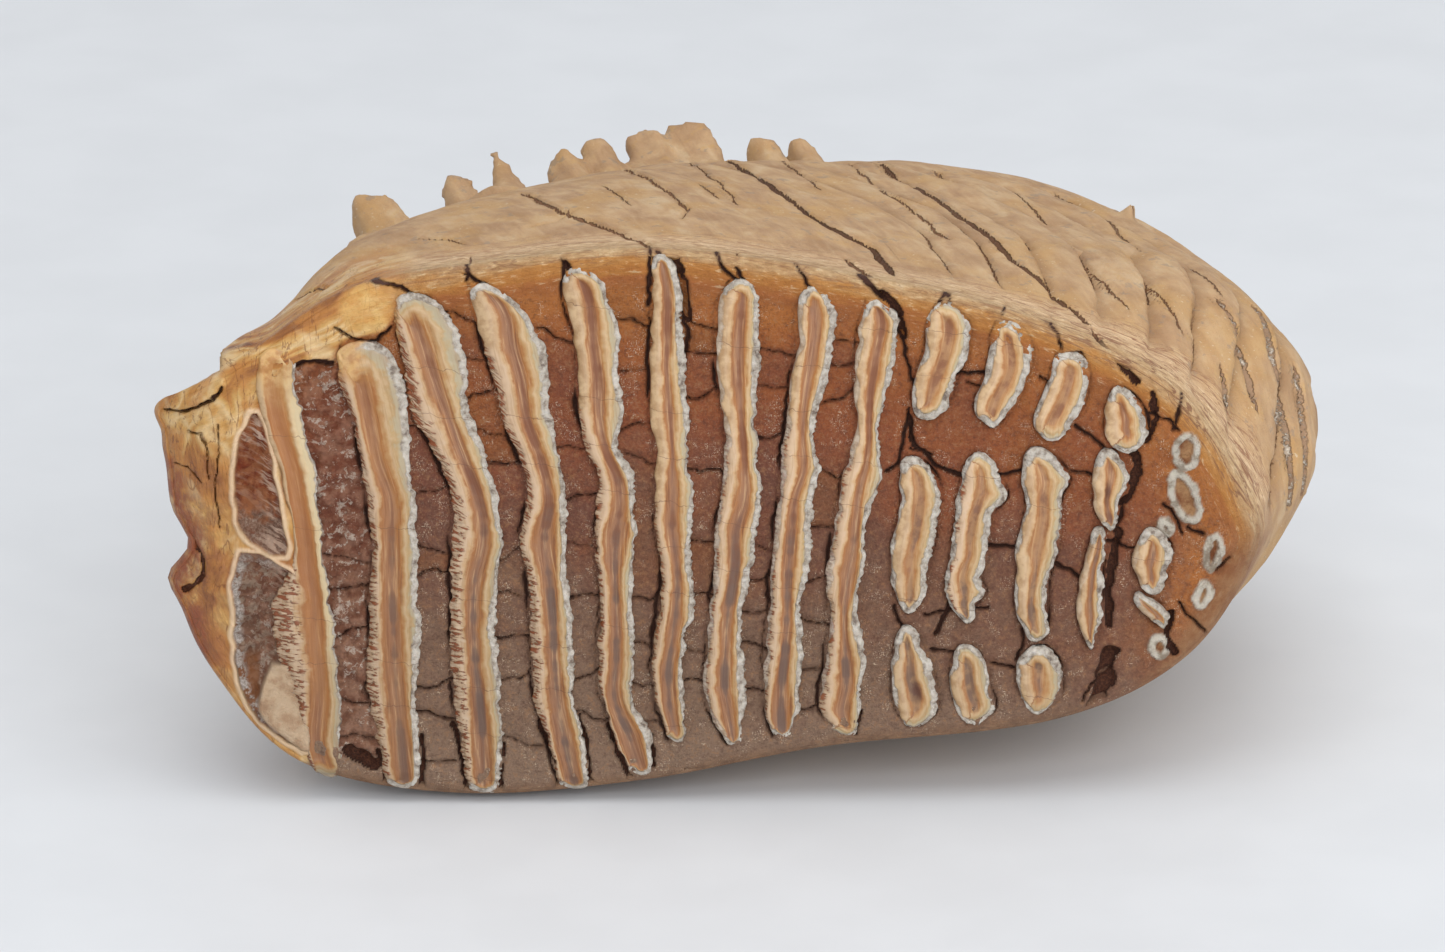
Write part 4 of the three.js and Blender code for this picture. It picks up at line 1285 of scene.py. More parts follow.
def mesh_values(items, name, kind, width):
    """Numbers that a mesh keeps for its vertices or edges, as rows of one width."""
    values = np.empty(len(items) * width, kind)
    items.foreach_get(name, values)
    return values.reshape(-1, width)


def smoothed(points, ends):
    """Points moved towards and away from their neighbours in turn, which smooths without shrinking."""
    counts = np.bincount(ends.ravel(), minlength=len(points))[:, None]
    for share in (0.6, -0.53) * 4:
        total = np.zeros_like(points)
        np.add.at(total, ends[:, 0], points[ends[:, 1]])
        np.add.at(total, ends[:, 1], points[ends[:, 0]])
        points = points + share * (total / np.maximum(counts, 1) - points)
    return points


def make_roots(material):
    """Roots fused with the back of the crown, by remeshing both as one skin and smoothing it."""
    points, quads, caps = [], [], []
    first = 0
    for shape, turned in root_shapes():
        rows, columns = shape.shape[:2]
        faces, ends = closed_tube(rows, columns, first, turned)
        points.append(shape.reshape(-1, 3))
        quads.append(faces)
        caps += ends
        first += rows * columns
    piece = make_piece("roots", np.vstack(points), np.vstack(quads), caps, {}, material)
    remesh = piece.modifiers.new("fuse", "REMESH")
    remesh.mode = "VOXEL"
    remesh.voxel_size = ROOT_VOXEL * MM
    graph = bpy.context.evaluated_depsgraph_get()
    fused = bpy.data.meshes.new_from_object(piece.evaluated_get(graph))
    piece.modifiers.clear()
    piece.data = fused
    points = mesh_values(fused.vertices, "co", np.float32, 3).astype(float) / MM
    points = smoothed(points, mesh_values(fused.edges, "vertices", np.int32, 2))
    normals = mesh_values(fused.vertices, "normal", np.float32, 3)
    spots = from_frame(points)
    bumps = 0.4 * rough([spots[:, 0], spots[:, 1], spots[:, 2] * 0.5], 5, 640)
    points = points + normals * bumps[:, None]
    points[:, 2] = np.maximum(points[:, 2], 0.02)
    fused.vertices.foreach_set("co", (points * MM).astype(np.float32).ravel())
    fused.polygons.foreach_set("use_smooth", np.ones(len(fused.polygons), bool))
    set_fields(fused, {"spot": spots, "rim": EDGE_DEPTH - spots[:, 2]})
    fused.materials.clear()
    fused.materials.append(material)
    fused.update()
    return piece


# Materials

def colour(text):
    """A colour as it looks on screen, such as C08A50, as the linear values that shaders take."""
    values = [int(text[k:k + 2], 16) / 255 for k in (0, 2, 4)]
    return (*[v / 12.92 if v < 0.04045 else ((v + 0.055) / 1.055) ** 2.4 for v in values], 1)


class Shader:
    """A material whose nodes are added by short calls that each give back an output."""

    def __init__(self, name):
        self.material = bpy.data.materials.new(name)
        self.material.use_nodes = True
        self.tree = self.material.node_tree
        self.tree.nodes.clear()

    def add(self, kind, inputs=(), output=0, **settings):
        node = self.tree.nodes.new(kind)
        for key, value in settings.items():
            setattr(node, key, value)
        for name, value in dict(inputs).items():
            if isinstance(value, bpy.types.NodeSocket):
                self.tree.links.new(value, node.inputs[name])
            else:
                node.inputs[name].default_value = value
        return node.outputs[output] if len(node.outputs) else None

    def field(self, name, vector=False):
        return self.add("ShaderNodeAttribute", output=1 if vector else 2, attribute_name=name)

    def math(self, operation, a, b=0, c=0, clamp=False):
        inputs = {0: a, 1: b} if operation not in ("MULTIPLY_ADD", "COMPARE") else {0: a, 1: b, 2: c}
        return self.add("ShaderNodeMath", inputs, operation=operation, use_clamp=clamp)

    def times(self, a, b):
        return self.math("MULTIPLY", a, b)

    def minus(self, a, b):
        return self.math("SUBTRACT", a, b)

    def larger(self, a, b):
        return self.math("MAXIMUM", a, b)

    def linear(self, value, factor, more):
        """A value times a factor, and more."""
        return self.math("MULTIPLY_ADD", value, factor, more)

    def centred(self, value):
        """Noise around 0 instead of around its middle."""
        return self.minus(value, 0.5)

    def away(self, value):
        """How far noise is from its middle, which makes thin lines."""
        return self.math("ABSOLUTE", self.centred(value))

    def mix(self, share, a, b, blend="MIX"):
        node = self.tree.nodes.new("ShaderNodeMix")
        node.data_type = "RGBA"
        node.blend_type = blend
        node.clamp_factor = True
        for slot, value in ((0, share), (6, a), (7, b)):
            if isinstance(value, bpy.types.NodeSocket):
                self.tree.links.new(value, node.inputs[slot])
            else:
                node.inputs[slot].default_value = colour(value) if isinstance(value, str) else value
        return node.outputs[2]

    def span(self, value, low, high, to_low=0, to_high=1):
        return self.add("ShaderNodeMapRange", {0: value, 1: low, 2: high, 3: to_low, 4: to_high},
                        interpolation_type="SMOOTHSTEP")

    def vector(self, x, y, z):
        return self.add("ShaderNodeCombineXYZ", {0: x, 1: y, 2: z})

    def parts(self, vector):
        """A vector's three numbers."""
        return tuple(self.add("ShaderNodeSeparateXYZ", {0: vector}).node.outputs)

    def scaled(self, vector, x, y, z):
        return self.add("ShaderNodeVectorMath", {0: vector, 1: (x, y, z)}, operation="MULTIPLY")

    def noise(self, vector, scale, detail=3, roughness=0.55, warp=0):
        return self.add("ShaderNodeTexNoise", {
            "Vector": vector, "Scale": scale, "Detail": detail, "Roughness": roughness, "Distortion": warp,
        })

    def cells(self, vector, scale, feature="F1"):
        return self.add("ShaderNodeTexVoronoi", {"Vector": vector, "Scale": scale}, feature=feature)

    def ramp(self, value, stops):
        node = self.tree.nodes.new("ShaderNodeValToRGB")
        self.tree.links.new(value, node.inputs[0])
        items = node.color_ramp.elements
        while len(items) < len(stops):
            items.new(0.5)
        for item, (position, text) in zip(items, stops):
            item.position = position
            item.color = colour(text)
        return node.outputs[0]

    def finish(self, base, roughness, height, distance, scatter=0, specular=0.5):
        bump = self.add("ShaderNodeBump", {"Height": height, "Strength": 1, "Distance": distance})
        shader = self.add("ShaderNodeBsdfPrincipled", {
            "Base Color": base, "Roughness": roughness, "Normal": bump, "IOR": 1.5,
            "Subsurface Weight": scatter, "Subsurface Radius": (1, 0.5, 0.25), "Subsurface Scale": 0.0012,
            "Specular IOR Level": specular,
        })
        self.add("ShaderNodeOutputMaterial", {"Surface": shader})
        return self.material


def skin_material():
    """Cement, lip, honey-coloured front end and the matte tan sides."""
    s = Shader("fossil_skin")
    spot = s.field("spot", True)
    rim = s.field("rim")
    honey = s.field("honey")
    pocket = s.field("pocket")
    along, height, depth = s.parts(spot)
    broad = s.noise(spot, 0.055, 3, 0.55)
    medium = s.noise(spot, 0.35, 5, 0.6)
    fine = s.noise(spot, 2.2, 4, 0.65)
    grit = s.noise(spot, 6, 2, 0.6)
    cement = cement_colour(s, spot, along, height, rim, broad, medium, fine)
    cement = crumbly_colour(s, cement, spot, along, height, medium, fine)
    lip, lines, layers = lip_colour(s, along, height, rim, medium)
    low = s.times(s.span(height, 44, 20), s.span(along, 214, 190))
    lip = s.mix(s.times(low, 0.85), lip, s.mix(s.span(medium, 0.35, 0.65), "674635", "967156"))
    under = s.times(s.span(height, 58, 44), s.span(along, 180, 200))
    lip = s.mix(s.times(under, 0.8), lip, s.mix(s.span(medium, 0.35, 0.65), "845136", "9A7050"))
    wavy = s.linear(s.centred(broad), 5, rim)
    inward = s.linear(low, 6, s.linear(s.span(along, 180, 200), 1.5, wavy))
    face = s.mix(s.span(inward, 9.5, 5), cement, lip)
    face = ring_colour(s, face, medium)
    side = side_colour(s, spot, along, height, depth, broad, medium)
    whole = s.mix(s.span(wavy, -5, -14), face, side)
    whole = s.mix(s.times(lines, s.span(along, 165, 195, 0.5, 0.85)), whole, "8A5E44")
    amber = honey_colour(s, spot, along, height, depth, rim, medium)
    covered = s.times(honey, s.minus(1, pocket))
    whole = s.mix(covered, whole, amber)
    whole, crack, slit, white = crack_colour(s, whole, spot, fine)
    roughness = s.linear(covered, -0.3, s.span(fine, 0.3, 0.7, 0.58, 0.76))
    relief = s.linear(fine, 0.9, s.linear(grit, 0.4, s.times(medium, 0.9)))
    relief = s.times(relief, s.linear(covered, -0.88, 1))
    relief = s.times(relief, s.span(rim, -8, 6, 0.3, 1))
    relief = s.linear(layers, s.span(rim, 4, -12, 0.5, 0), relief)
    relief = s.linear(slit, s.linear(white, 0.5, -0.8), relief)
    relief = s.linear(s.span(crack, 0.4, 0.66), -0.7, relief)
    return s.finish(whole, roughness, relief, 0.001, 0.05, 0.3)


def honey_colour(s, spot, along, height, depth, rim, medium):
    """The front end: polished honey with pale and dark agate bands, and a brown edge."""
    swirl = s.noise(spot, 0.05, 2, 0.5)
    turned = s.span(height, 78, 92)
    level = s.times(along, 0.2)
    across = s.linear(turned, s.minus(s.times(rim, 0.34), level), level)
    flow = s.vector(s.linear(swirl, 4, s.times(across, 0.75)), s.times(height, 0.08), s.times(depth, 0.1))
    bands = s.noise(flow, 0.8, 3, 0.5, 0.5)
    amber = s.ramp(bands, (
        (0.26, "643B25"), (0.36, "8E5A2E"), (0.44, "AC763C"), (0.51, "BE9457"),
        (0.57, "CCAC7C"), (0.63, "B98B4E"), (0.72, "9C6A34"),
    ))
    dark = s.times(s.span(along, 20, 6), s.span(height, 76, 54))
    amber = s.mix(s.times(dark, s.span(medium, 0.36, 0.62, 0.15, 0.8)), amber, "764834")
    edge = s.times(s.span(height, 75, 66), s.span(along, 24, 16))
    edge = s.times(s.span(rim, 6, 1.5), edge)
    edge = s.times(edge, s.span(height, 18, 34))
    amber = s.mix(s.times(edge, s.span(medium, 0.34, 0.6, 0.35, 0.85)), amber, "84452A")
    warm = s.span(s.noise(spot, 0.13, 3), 0.46, 0.62)
    amber = s.mix(s.times(warm, s.span(height, 30, 86, 0.3, 0.7)), amber, "AB7239")
    pale = s.span(s.noise(spot, 0.12, 2, 0.5, 0.4), 0.54, 0.66, 0, 0.5)
    amber = s.mix(s.times(pale, s.span(height, 48, 66)), amber, "D3B88D")
    seams = s.away(s.noise(s.scaled(spot, 0.2, 0.05, 0.1), 1, 4, 0.6, 1))
    amber = s.mix(s.span(seams, 0.012, 0.003, 0, 0.6), amber, "6B3E22")
    flat = s.scaled(spot, 1, 1.15, 0)
    round_patch = s.add("ShaderNodeVectorMath", {0: flat, 1: (42.4, 112, 0)}, 1, operation="DISTANCE")
    round_patch = s.linear(s.centred(medium), 5, round_patch)
    golden = s.mix(s.span(medium, 0.4, 0.6), "BF8B47", "CFA662")
    amber = s.mix(s.span(round_patch, 6.4, 4.6, 0, 0.6), amber, golden)
    # The pockets' raised rim is pale: partly its own colour, partly a painted highlight.
    return s.mix(s.times(s.field("pale_rim_and_highlight"), 0.8), amber, "D2B696")


def crack_colour(s, whole, spot, fine):
    """Cracks as thin dark lines with painted shade along their edges, some of them filled with pale crumbs.
    """
    crack = s.field("crack")
    wide = s.field("wide")
    ragged = s.linear(s.centred(s.noise(spot, 1.3, 3)), 0.6, s.math("ABSOLUTE", s.field("cut")))
    inner = s.minus(ragged, wide)
    slit = s.times(s.span(inner, 0.14, -0.06), s.times(s.field("mask"), s.span(wide, 0, 0.08)))
    white = s.times(s.field("white"), s.span(s.noise(spot, 0.3, 4, 0.7), 0.5, 0.58))
    white = s.times(white, s.span(inner, -0.02, -0.2))
    opened = s.mix(s.span(wide, 0.1, 0.4), "7C5438", "4A2B1A")
    opened = s.mix(s.times(s.field("white"), 0.8), opened, "A3856A")
    opened = s.mix(white, opened, s.mix(s.span(fine, 0.4, 0.6), "AC9C8A", "CCC2B3"))
    # Painted shade along the edges of every crack.
    whole = s.mix(s.times(s.span(crack, 0.05, 0.5), 0.35), whole, "522D1C")
    # In the deep gaps, where the crack field is full, this dark brown is painted shade.
    opening = s.mix(s.span(crack, 0.9, 1), "47291D", s.mix(s.span(fine, 0.4, 0.65), "4A2A1E", "6E4430"))
    whole = s.mix(s.span(crack, 0.53, 0.65), whole, opening)
    return s.mix(s.times(slit, 0.92), whole, opened), crack, slit, white


def lip_colour(s, along, height, rim, medium):
    """The rounded lip, its thin brown layers, and the fibres that run along it."""
    flow = s.vector(s.times(along, 0.045), s.times(rim, 0.4), s.times(height, 0.045))
    layers = s.noise(flow, 1, 4, 0.55, 0.8)
    short = s.vector(s.times(along, 0.35), s.times(rim, 1.3), s.times(height, 0.35))
    fibre = s.noise(short, 1.2, 4, 0.65, 0.4)
    wavy = s.linear(s.centred(medium), 2.5, rim)
    wavy = s.linear(s.centred(layers), 6, wavy)
    lip = s.ramp(s.math("DIVIDE", s.math("ADD", wavy, 6), 16), (
        (0, "D2B38F"), (0.32, "D4B48A"), (0.44, "C89E6E"), (0.52, "C88F4F"),
        (0.62, "C0803F"), (0.74, "B16C3A"), (0.95, "9C5D34"),
    ))
    shade = s.ramp(fibre, ((0.32, "D2C5B8"), (0.46, "ECE5DE"), (0.6, "FFFFFF")))
    lip = s.mix(s.span(rim, 6, 1, 0.35, 0.9), lip, shade, "MULTIPLY")
    lip = s.mix(s.span(fibre, 0.56, 0.7, 0, 0.55), lip, "E7CEA6")
    zone = s.times(s.span(rim, 4.5, 1), s.span(rim, -18, -9))
    zone = s.times(zone, s.span(height, 46, 60))
    lines = s.away(layers)
    thin = s.away(s.noise(flow, 2.3, 2, 0.5, 0.5))
    lines = s.larger(s.span(lines, 0.026, 0.006), s.span(thin, 0.018, 0.004, 0, 0.8))
    return lip, s.times(lines, zone), fibre


def ring_colour(s, face, medium):
    """The low rings and the brown bowls inside them."""
    face = s.mix(s.field("bowl"), face, s.mix(s.span(medium, 0.35, 0.65), "875131", "BC9166"))
    chalk = s.mix(s.span(medium, 0.36, 0.56), "9A8B79", "D4CABA")
    return s.mix(s.field("ring"), face, chalk)


def cement_colour(s, spot, along, height, rim, broad, medium, fine):
    """Orange-brown near the lip, dark reddish brown inside, greyer low down, with pale flecks."""
    level = s.linear(s.centred(broad), 44, height)
    level = s.linear(s.centred(medium), 26, level)
    level = s.linear(s.larger(s.minus(along, 135), 0), 0.26, level)
    cement = s.ramp(s.math("DIVIDE", level, 110), (
        (0.08, "8E735F"), (0.3, "826350"), (0.5, "80533F"),
        (0.68, "955130"), (0.84, "A65F30"), (0.98, "B77237"),
    ))
    tone = s.linear(s.centred(broad), 1.5, s.field("tone"))
    upper = s.span(height, 30, 60)
    cement = s.mix(s.times(s.span(tone, 0, 1, 0, 0.6), upper), cement, "8F552A")
    cement = s.mix(s.times(s.span(tone, 0, -1, 0, 0.4), upper), cement, "6A3D34")
    warm = s.times(s.span(rim, 17, 7), s.span(height, 22, 56))
    warm = s.math("ADD", warm, s.times(s.span(along, 192, 208), 0.45), clamp=True)
    cement = s.mix(s.times(warm, s.span(medium, 0.3, 0.62, 0.35, 0.95)), cement, "BB7338")
    mottle = s.noise(spot, 0.9, 5, 0.7)
    cement = s.mix(s.span(mottle, 0.5, 0.34, 0, 0.45), cement, "5A382D")
    cement = s.mix(s.span(mottle, 0.52, 0.66, 0, 0.5), cement, "A87A54")
    cement = s.mix(s.times(s.span(fine, 0.5, 0.72), 0.3), cement, "B18F72")
    cement = s.mix(s.times(s.span(fine, 0.46, 0.3), 0.35), cement, "5C3628")
    where = s.span(s.noise(spot, 0.3, 2), 0.5, 0.62)
    for x, y in ((7, 1.6), (1.8, 6)):
        strokes = s.span(s.noise(s.scaled(spot, x, y, 1), 1, 2, 0.5, 0.5), 0.62, 0.68)
        cement = s.mix(s.times(strokes, s.times(where, 0.8)), cement, "DEC7AC")
    return cement


def crumbly_colour(s, cement, spot, along, height, medium, fine):
    """The first strip, and the pockets with their red-brown streaks."""
    crumb = s.field("crumb")
    pocket = s.field("pocket")
    wall = s.field("wall")
    patches = s.noise(spot, 0.42, 5, 0.72, 0.4)
    upper = s.span(height, 10, 60, -0.03, 0)
    pale = s.times(crumb, s.span(s.math("ADD", patches, upper), 0.55, 0.585))
    cement = s.mix(s.times(crumb, 0.6), cement, s.mix(s.span(medium, 0.4, 0.6), "733A23", "A0735C"))
    cement = s.mix(s.times(pale, s.span(fine, 0.35, 0.6, 0.35, 0.85)), cement, "C8B6A6")
    top = s.times(pocket, s.span(height, 47, 50))
    redder = s.linear(s.centred(medium), 16, height)
    red = s.times(top, s.span(redder, 55, 60))
    cement = s.mix(s.times(top, 0.7), cement, s.mix(s.span(fine, 0.4, 0.6), "725343", "98806E"))
    cement = s.mix(s.times(red, 0.9), cement, s.mix(s.span(medium, 0.38, 0.6), "792C08", "A4663F"))
    slanted = s.vector(s.times(s.minus(along, s.times(height, 0.3)), 0.22), s.linear(along, 0.55, height), 0)
    strokes = s.noise(slanted, 0.72, 4, 0.6, 0.5)
    inner = s.times(pocket, s.span(wall, -4.5, -1.2, 0.35, 1))
    right_side = s.span(s.linear(height, 0.11, along), 26, 28.6, 0.35, 1.2)
    right_side = s.larger(right_side, s.span(height, 68, 72, 0, 0.8))
    solid = s.span(s.noise(s.scaled(spot, 0.04, 0.16, 0), 1, 2), 0.42, 0.56, 0.6, 1)
    right_side = s.times(right_side, solid)
    fringe = s.span(s.linear(medium, 6, along), 22, 29, 0, 1)
    choice = s.linear(s.span(height, 47, 52), s.minus(right_side, fringe), fringe)
    inner = s.times(inner, choice)
    cement = s.mix(s.times(inner, s.span(strokes, 0.5, 0.42, 0, 0.85)), cement, "CFB09A")
    cement = s.mix(s.times(inner, s.span(strokes, 0.56, 0.62, 0, 0.7)), cement, "80320A")
    lower = s.times(pocket, s.span(height, 50, 46))
    near_plate = s.span(s.linear(medium, 8, along), 21, 28)
    cement = s.mix(s.times(lower, s.span(near_plate, 0, 1, 0.42, 0)), cement, "5C463A")
    crumbs = s.span(s.noise(spot, 0.55, 5, 0.7, 0.3), 0.5, 0.58, 0, 0.6)
    cement = s.mix(s.times(lower, crumbs), cement, "A18C78")
    strip = s.times(s.span(height, 30, 27), s.span(height, 16, 19))
    strip = s.times(strip, s.span(s.linear(medium, 3, along), 22.4, 21))
    cement = s.mix(s.times(s.times(lower, strip), 0.75), cement, "8C5630")
    rims = s.times(s.span(wall, -2.6, -1), s.span(along, 25, 20))
    rims = s.times(s.times(lower, rims), s.span(patches, 0.44, 0.5))
    cement = s.mix(s.times(rims, 0.85), cement, s.mix(s.span(fine, 0.4, 0.6), "9C9187", "CFC5BD"))
    cement = s.mix(s.field("cream"), cement, s.mix(s.span(medium, 0.4, 0.7), "CEB293", "B38F70"))
    return cement


def side_colour(s, spot, along, height, depth, broad, medium):
    """Matte tan with faint fibres that follow the plates' edges, warm blotches, stains and pale flecks, with
    painted shade in the grooves between ridges and painted highlights on their crests.
    """
    # The fibres slant like the cracks: further forward, the deeper they are.
    slanted = s.times(depth, s.linear(depth, 0.0003, 0.3))
    follow = s.vector(
        s.times(s.math("ADD", along, slanted), 0.7), s.times(depth, 0.07), s.times(height, 0.07),
    )
    fibre = s.noise(follow, 1, 4, 0.62, 0.3)
    wide = s.noise(s.scaled(follow, 0.25, 1.2, 1.2), 1, 3, 0.55, 0.6)
    side = s.ramp(wide, ((0.32, "A6825E"), (0.45, "B3906C"), (0.56, "BD9A73"), (0.7, "C6A985")))
    side = s.mix(s.span(fibre, 0.5, 0.3, 0, 0.3), side, "9A7454")
    side = s.mix(s.span(fibre, 0.52, 0.72, 0, 0.25), side, "CCAF8D")
    clouds = s.noise(spot, 0.12, 5, 0.65)
    side = s.mix(s.span(clouds, 0.5, 0.36, 0, 0.35), side, "A07A58")
    side = s.mix(s.span(clouds, 0.54, 0.68, 0, 0.35), side, "CDB08C")
    side = s.mix(s.times(s.span(broad, 0.46, 0.64), 0.5), side, "BC9158")
    side = s.mix(s.times(s.span(medium, 0.56, 0.72), 0.4), side, "C29A5D")
    grey = s.times(s.span(s.noise(spot, 0.25, 4, 0.65), 0.6, 0.66), 0.5)
    side = s.mix(grey, side, "8C7D6F")
    # Painted shade in the grooves between the side's ridges, and painted highlights on the ridges' crests.
    crest = s.field("crest")
    side = s.mix(s.span(crest, -0.05, -0.6, 0, 0.5), side, "8A6A4C")
    side = s.mix(s.span(crest, 0.05, 0.5, 0, 0.35), side, "CBAE88")
    flecks = s.times(s.span(s.noise(spot, 1.1, 2), 0.66, 0.7), s.span(broad, 0.5, 0.6))
    side = s.mix(s.times(flecks, 0.6), side, "D6C6AC")
    return s.mix(s.times(s.span(height, 42, 14), 0.4), side, "8F6D49")


def plate_material():
    """Enamel, dentine and the chalky crumbs beside them."""
    s = Shader("plate")
    spot = s.field("spot", True)
    band = s.field("band")
    chalk = s.field("chalk")
    core = s.field("core")
    comb = s.field("comb")
    one = s.field("one")
    along, height = s.parts(spot)[:2]
    medium = s.noise(spot, 0.4, 4, 0.6)
    fine = s.noise(spot, 2.4, 4, 0.65)
    # Streaks in the enamel and dentine run along the plate.
    lane = s.vector(core, s.times(height, 0.055), s.times(one, 40))
    broad_lane = s.centred(s.noise(lane, 0.7, 3, 0.6))
    grain = s.noise(lane, 1.9, 5, 0.62, 0.4)
    uneven = s.centred(s.noise(spot, 0.22, 4, 0.65, 0.5))
    place = s.linear(broad_lane, 0.12, s.math("DIVIDE", band, 3))
    place = s.linear(uneven, 0.2, place)
    base = s.ramp(place, (
        (0, "9F8269"), (0.1, "B4977A"), (0.2, "C3A688"), (0.26, "BC976D"), (0.31, "986233"),
        (0.38, "946644"), (0.5, "886046"), (0.6, "966844"), (0.65, "9A622E"), (0.7, "AA804F"),
        (0.77, "B99C76"), (0.82, "AD8F63"), (0.86, "AA9B7D"), (1, "A2917D"),
    ))
    dentine = s.times(s.span(band, 0.8, 1.05), s.span(band, 2.2, 1.95))
    base = s.mix(s.times(dentine, s.span(grain, 0.5, 0.36, 0, 0.75)), base, "77482A")
    base = s.mix(s.times(dentine, s.span(grain, 0.53, 0.68, 0, 0.7)), base, "BC956D")
    enamel = s.times(s.minus(1, dentine), 0.35)
    base = s.mix(s.times(enamel, s.span(grain, 0.5, 0.38)), base, "947044")
    spread = s.vector(s.times(one, 50), height, s.times(along, 0.15))
    dark = s.span(s.noise(spread, 0.085, 3, 0.6), 0.42, 0.6)
    middle = s.linear(broad_lane, 1.6, core)
    edge = s.minus(s.math("ABSOLUTE", middle), s.linear(dark, 0.75, 0.06))
    in_core = s.times(s.span(edge, 0.35, -0.3), s.linear(dark, 0.45, 0.4))
    tone = s.mix(s.span(s.linear(medium, 40, height), 90, 55), "6F3D1F", "5F483D")
    base = s.mix(s.times(in_core, dentine), base, tone)
    softer = s.times(s.times(s.field("island"), dentine), s.span(medium, 0.4, 0.6, 0.1, 0.5))
    base = s.mix(softer, base, "AC8459")
    golden = s.times(s.span(along, 62, 34), s.linear(dentine, 0.3, 0.05))
    base = s.mix(golden, base, s.mix(s.span(broad_lane, -0.12, 0.12), "965924", "BC8347"))
    knots = s.cells(s.scaled(spot, 1, 0.6, 0), 0.075)
    spots = s.times(s.span(s.linear(uneven, 0.12, knots), 0.15, 0.03), dentine)
    base = s.mix(s.times(spots, 0.85), base, "4F2612")
    first = s.times(s.span(along, 39, 36), s.span(height, 14, 40))
    base = s.mix(s.times(first, s.span(band, 2.1, 2.5, 0, 0.7)), base, "D3BE96")
    base = s.mix(s.times(first, s.times(dentine, 0.4)), base, "A86932")
    melted = s.times(s.span(height, 76, 87), s.span(along, 36, 29))
    base = s.mix(s.times(melted, 0.85), base, s.mix(s.span(medium, 0.38, 0.6), "AC7D47", "C6A26E"))
    # Comb: short slanting red-brown strokes across the left fringe.
    left = s.field("left")
    slant = s.times(s.span(height, 42, 76, 0.1, 0.9), s.span(comb, 0.5, 0.8, 0.2, 1))
    slanted = s.linear(left, slant, height)
    strokes = s.vector(s.times(left, 0.3), slanted, s.times(one, 30))
    teeth = s.noise(strokes, 1.7, 3, 0.6, 0.2)
    upper = s.span(height, 46, 74, 0, 0.035)
    frayed = s.times(s.noise(s.scaled(spot, 0.2, 1, 0.2), 0.8, 3), s.linear(comb, 0.7, 0.3))
    low_down = s.span(height, 70, 30, 0, 0.3)
    reach = s.math("ADD", frayed, s.linear(low_down, comb, -0.08))
    fringe = s.times(s.span(s.minus(band, reach), 0.08, -0.16), s.span(comb, 0.05, 0.3))
    strokes_dark = s.times(fringe, s.span(s.math("ADD", teeth, upper), 0.525, 0.565))
    base = s.mix(s.times(strokes_dark, 0.9), base, "803C14")
    base = s.mix(s.times(fringe, s.span(teeth, 0.47, 0.38, 0, 0.6)), base, "C5AD93")
    flank = s.times(s.span(band, 1, 0.3), s.minus(1, s.span(comb, 0.1, 0.6)))
    base = s.mix(s.times(flank, 0.8), base, s.mix(s.span(medium, 0.38, 0.62), "9D7A52", "BFA17A"))
    bright = s.times(s.span(height, 16, 80, 0.84, 1), s.span(along, 24, 140, 0.9, 1.06))
    base = s.mix(1, base, s.add("ShaderNodeCombineColor", {0: bright, 1: bright, 2: bright}), "MULTIPLY")
    capped = s.times(s.span(height, 82, 86), s.span(along, 50, 48))
    capped = s.times(capped, s.span(s.linear(uneven, 6, core), 1.8, -0.4))
    base = s.mix(s.times(capped, 0.75), base, s.mix(s.span(medium, 0.38, 0.6), "A97540", "C49A60"))
    chalk = s.times(chalk, s.minus(1, capped))
    # The crumbs are chalky white, with grey pits.
    pits = s.noise(spot, 0.6, 4, 0.62)
    white = s.ramp(pits, ((0.33, "7A6C61"), (0.42, "A29689"), (0.54, "C0B7AB"), (0.68, "D0C8BD")))
    base = s.mix(chalk, base, white)
    wander = s.times(s.noise(spot, 0.25, 3, 0.6), 3)
    crossing = s.math("ADD", s.linear(one, 40, s.linear(along, 0.15, height)), wander)
    crossing = s.math("DIVIDE", crossing, 9)
    gap = s.away(s.math("FRACT", crossing))
    chosen = s.noise(s.vector(s.math("FLOOR", crossing), one, 0), 7.3, 0)
    broken = s.times(s.span(chosen, 0.46, 0.5), 0.6)
    base = s.mix(s.times(s.span(gap, 0.011, 0.003), broken), base, "5A3826")
    roughness = s.linear(chalk, 0.35, s.span(medium, 0.3, 0.7, 0.36, 0.5))
    relief = s.times(fine, s.linear(chalk, 0.5, 0.05))
    relief = s.linear(strokes_dark, -0.25, relief)
    relief = s.linear(grain, s.times(dentine, 0.12), relief)
    return s.finish(base, roughness, relief, 0.001, 0.06, 0.4)


def floor_material():
    """A plain pale floor."""
    s = Shader("floor")
    where = s.add("ShaderNodeTexCoord", output=3)
    speck = s.noise(where, 30, 3)
    base = s.mix(s.span(speck, 0.3, 0.7), "D4D6D9", "D7D9DC")
    return s.finish(base, s.span(speck, 0.3, 0.7, 0.5, 0.55), speck, 0.00005)


# The scene around the tooth

VIEW_DISTANCE = 1.6
VIEW_WIDTH = 0.289
VIEW_ELEVATION = math.radians(20)
VIEW_MIDDLE = np.array([113.5, 64.8, 0])
SENSOR = 36
# Soft lights, as a name, where each is and what it points at in metres, its size, power and tint.
LIGHTS = (
    ("key", (0.1, -0.3, 2.4), (0, 0, 0.05), 2.2, 27.5, (1, 0.99, 0.97)),
    ("fill", (0.3, -2.6, 1), (0, 0, 0.05), 2.4, 50.5, (0.98, 0.99, 1)),
    ("floor_fill", (1.4, -0.8, 0.8), (0.15, 0, 0), 1.8, 8, (1, 1, 1)),
)
SKY_TINT = (0.93, 0.96, 1, 1)
SKY_STRENGTH = 0.6
FLOOR_HALF = 5


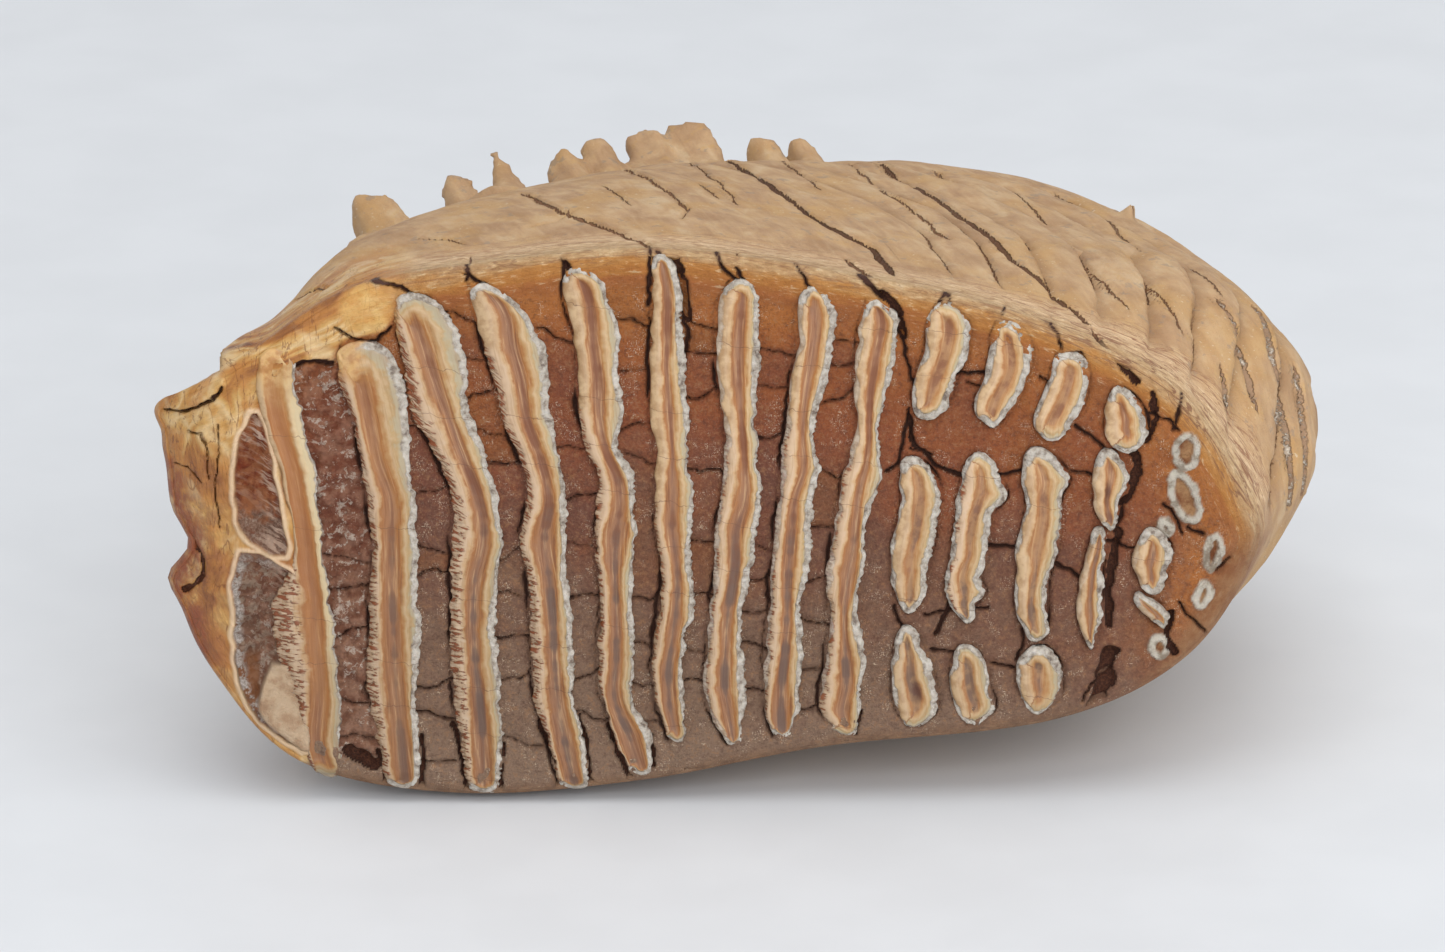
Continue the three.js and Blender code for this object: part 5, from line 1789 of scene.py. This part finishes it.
def make_camera():
    """A long lens at the photograph's angle, level with the face's long direction."""
    data = bpy.data.cameras.new("camera")
    data.sensor_width = SENSOR
    data.lens = SENSOR * VIEW_DISTANCE / VIEW_WIDTH
    data.clip_end = 50
    camera = bpy.data.objects.new("camera", data)
    bpy.context.scene.collection.objects.link(camera)
    middle = to_frame(VIEW_MIDDLE) * MM
    back = np.array([0, -math.cos(VIEW_ELEVATION), math.sin(VIEW_ELEVATION)])
    camera.location = middle + back * VIEW_DISTANCE
    camera.rotation_euler = (math.pi / 2 - VIEW_ELEVATION, 0, 0)
    bpy.context.scene.camera = camera


def area_light(name, place, aim, size, power, tint):
    """A soft square light that points from a place to another."""
    data = bpy.data.lights.new(name, "AREA")
    data.size = size
    data.energy = power
    data.color = tint
    light = bpy.data.objects.new(name, data)
    bpy.context.scene.collection.objects.link(light)
    light.location = place
    direction = Vector(aim) - Vector(place)
    light.rotation_euler = direction.to_track_quat("-Z", "Y").to_euler()


def make_setting():
    """Floor, lights and a pale surround."""
    mesh = bpy.data.meshes.new("floor")
    half = FLOOR_HALF
    corners = [(-half, -half, -0.0002), (half, -half, -0.0002), (half, half, -0.0002), (-half, half, -0.0002)]
    mesh.from_pydata(corners, [], [(0, 1, 2, 3)])
    mesh.materials.append(floor_material())
    floor = bpy.data.objects.new("floor", mesh)
    bpy.context.scene.collection.objects.link(floor)
    for light in LIGHTS:
        area_light(*light)
    world = bpy.data.worlds.new("surround")
    world.use_nodes = True
    background = world.node_tree.nodes["Background"]
    background.inputs[0].default_value = SKY_TINT
    background.inputs[1].default_value = SKY_STRENGTH
    bpy.context.scene.world = world


def main():
    make_camera()
    make_setting()
    bpy.context.scene.view_settings.view_transform = "Standard"
    skin = skin_material()
    plate = plate_material()
    make_crown(skin)
    make_roots(skin)
    make_sheet("front_face", face_part(None, 0), (-4, 0), (38, 92), 0.26, skin)
    make_sheet("cement_left", face_part(0, 5), (18, 0), (110, 112), 0.33, skin)
    make_sheet("cement_right", face_part(5, None), (96, 6), (224, 112), 0.34, skin)
    join_plates("plates_front", plate_shapes(0, 5), plate)
    join_plates("plates_back", plate_shapes(5, 9), plate)
    join_plates("islands", island_shapes(), plate)


main()
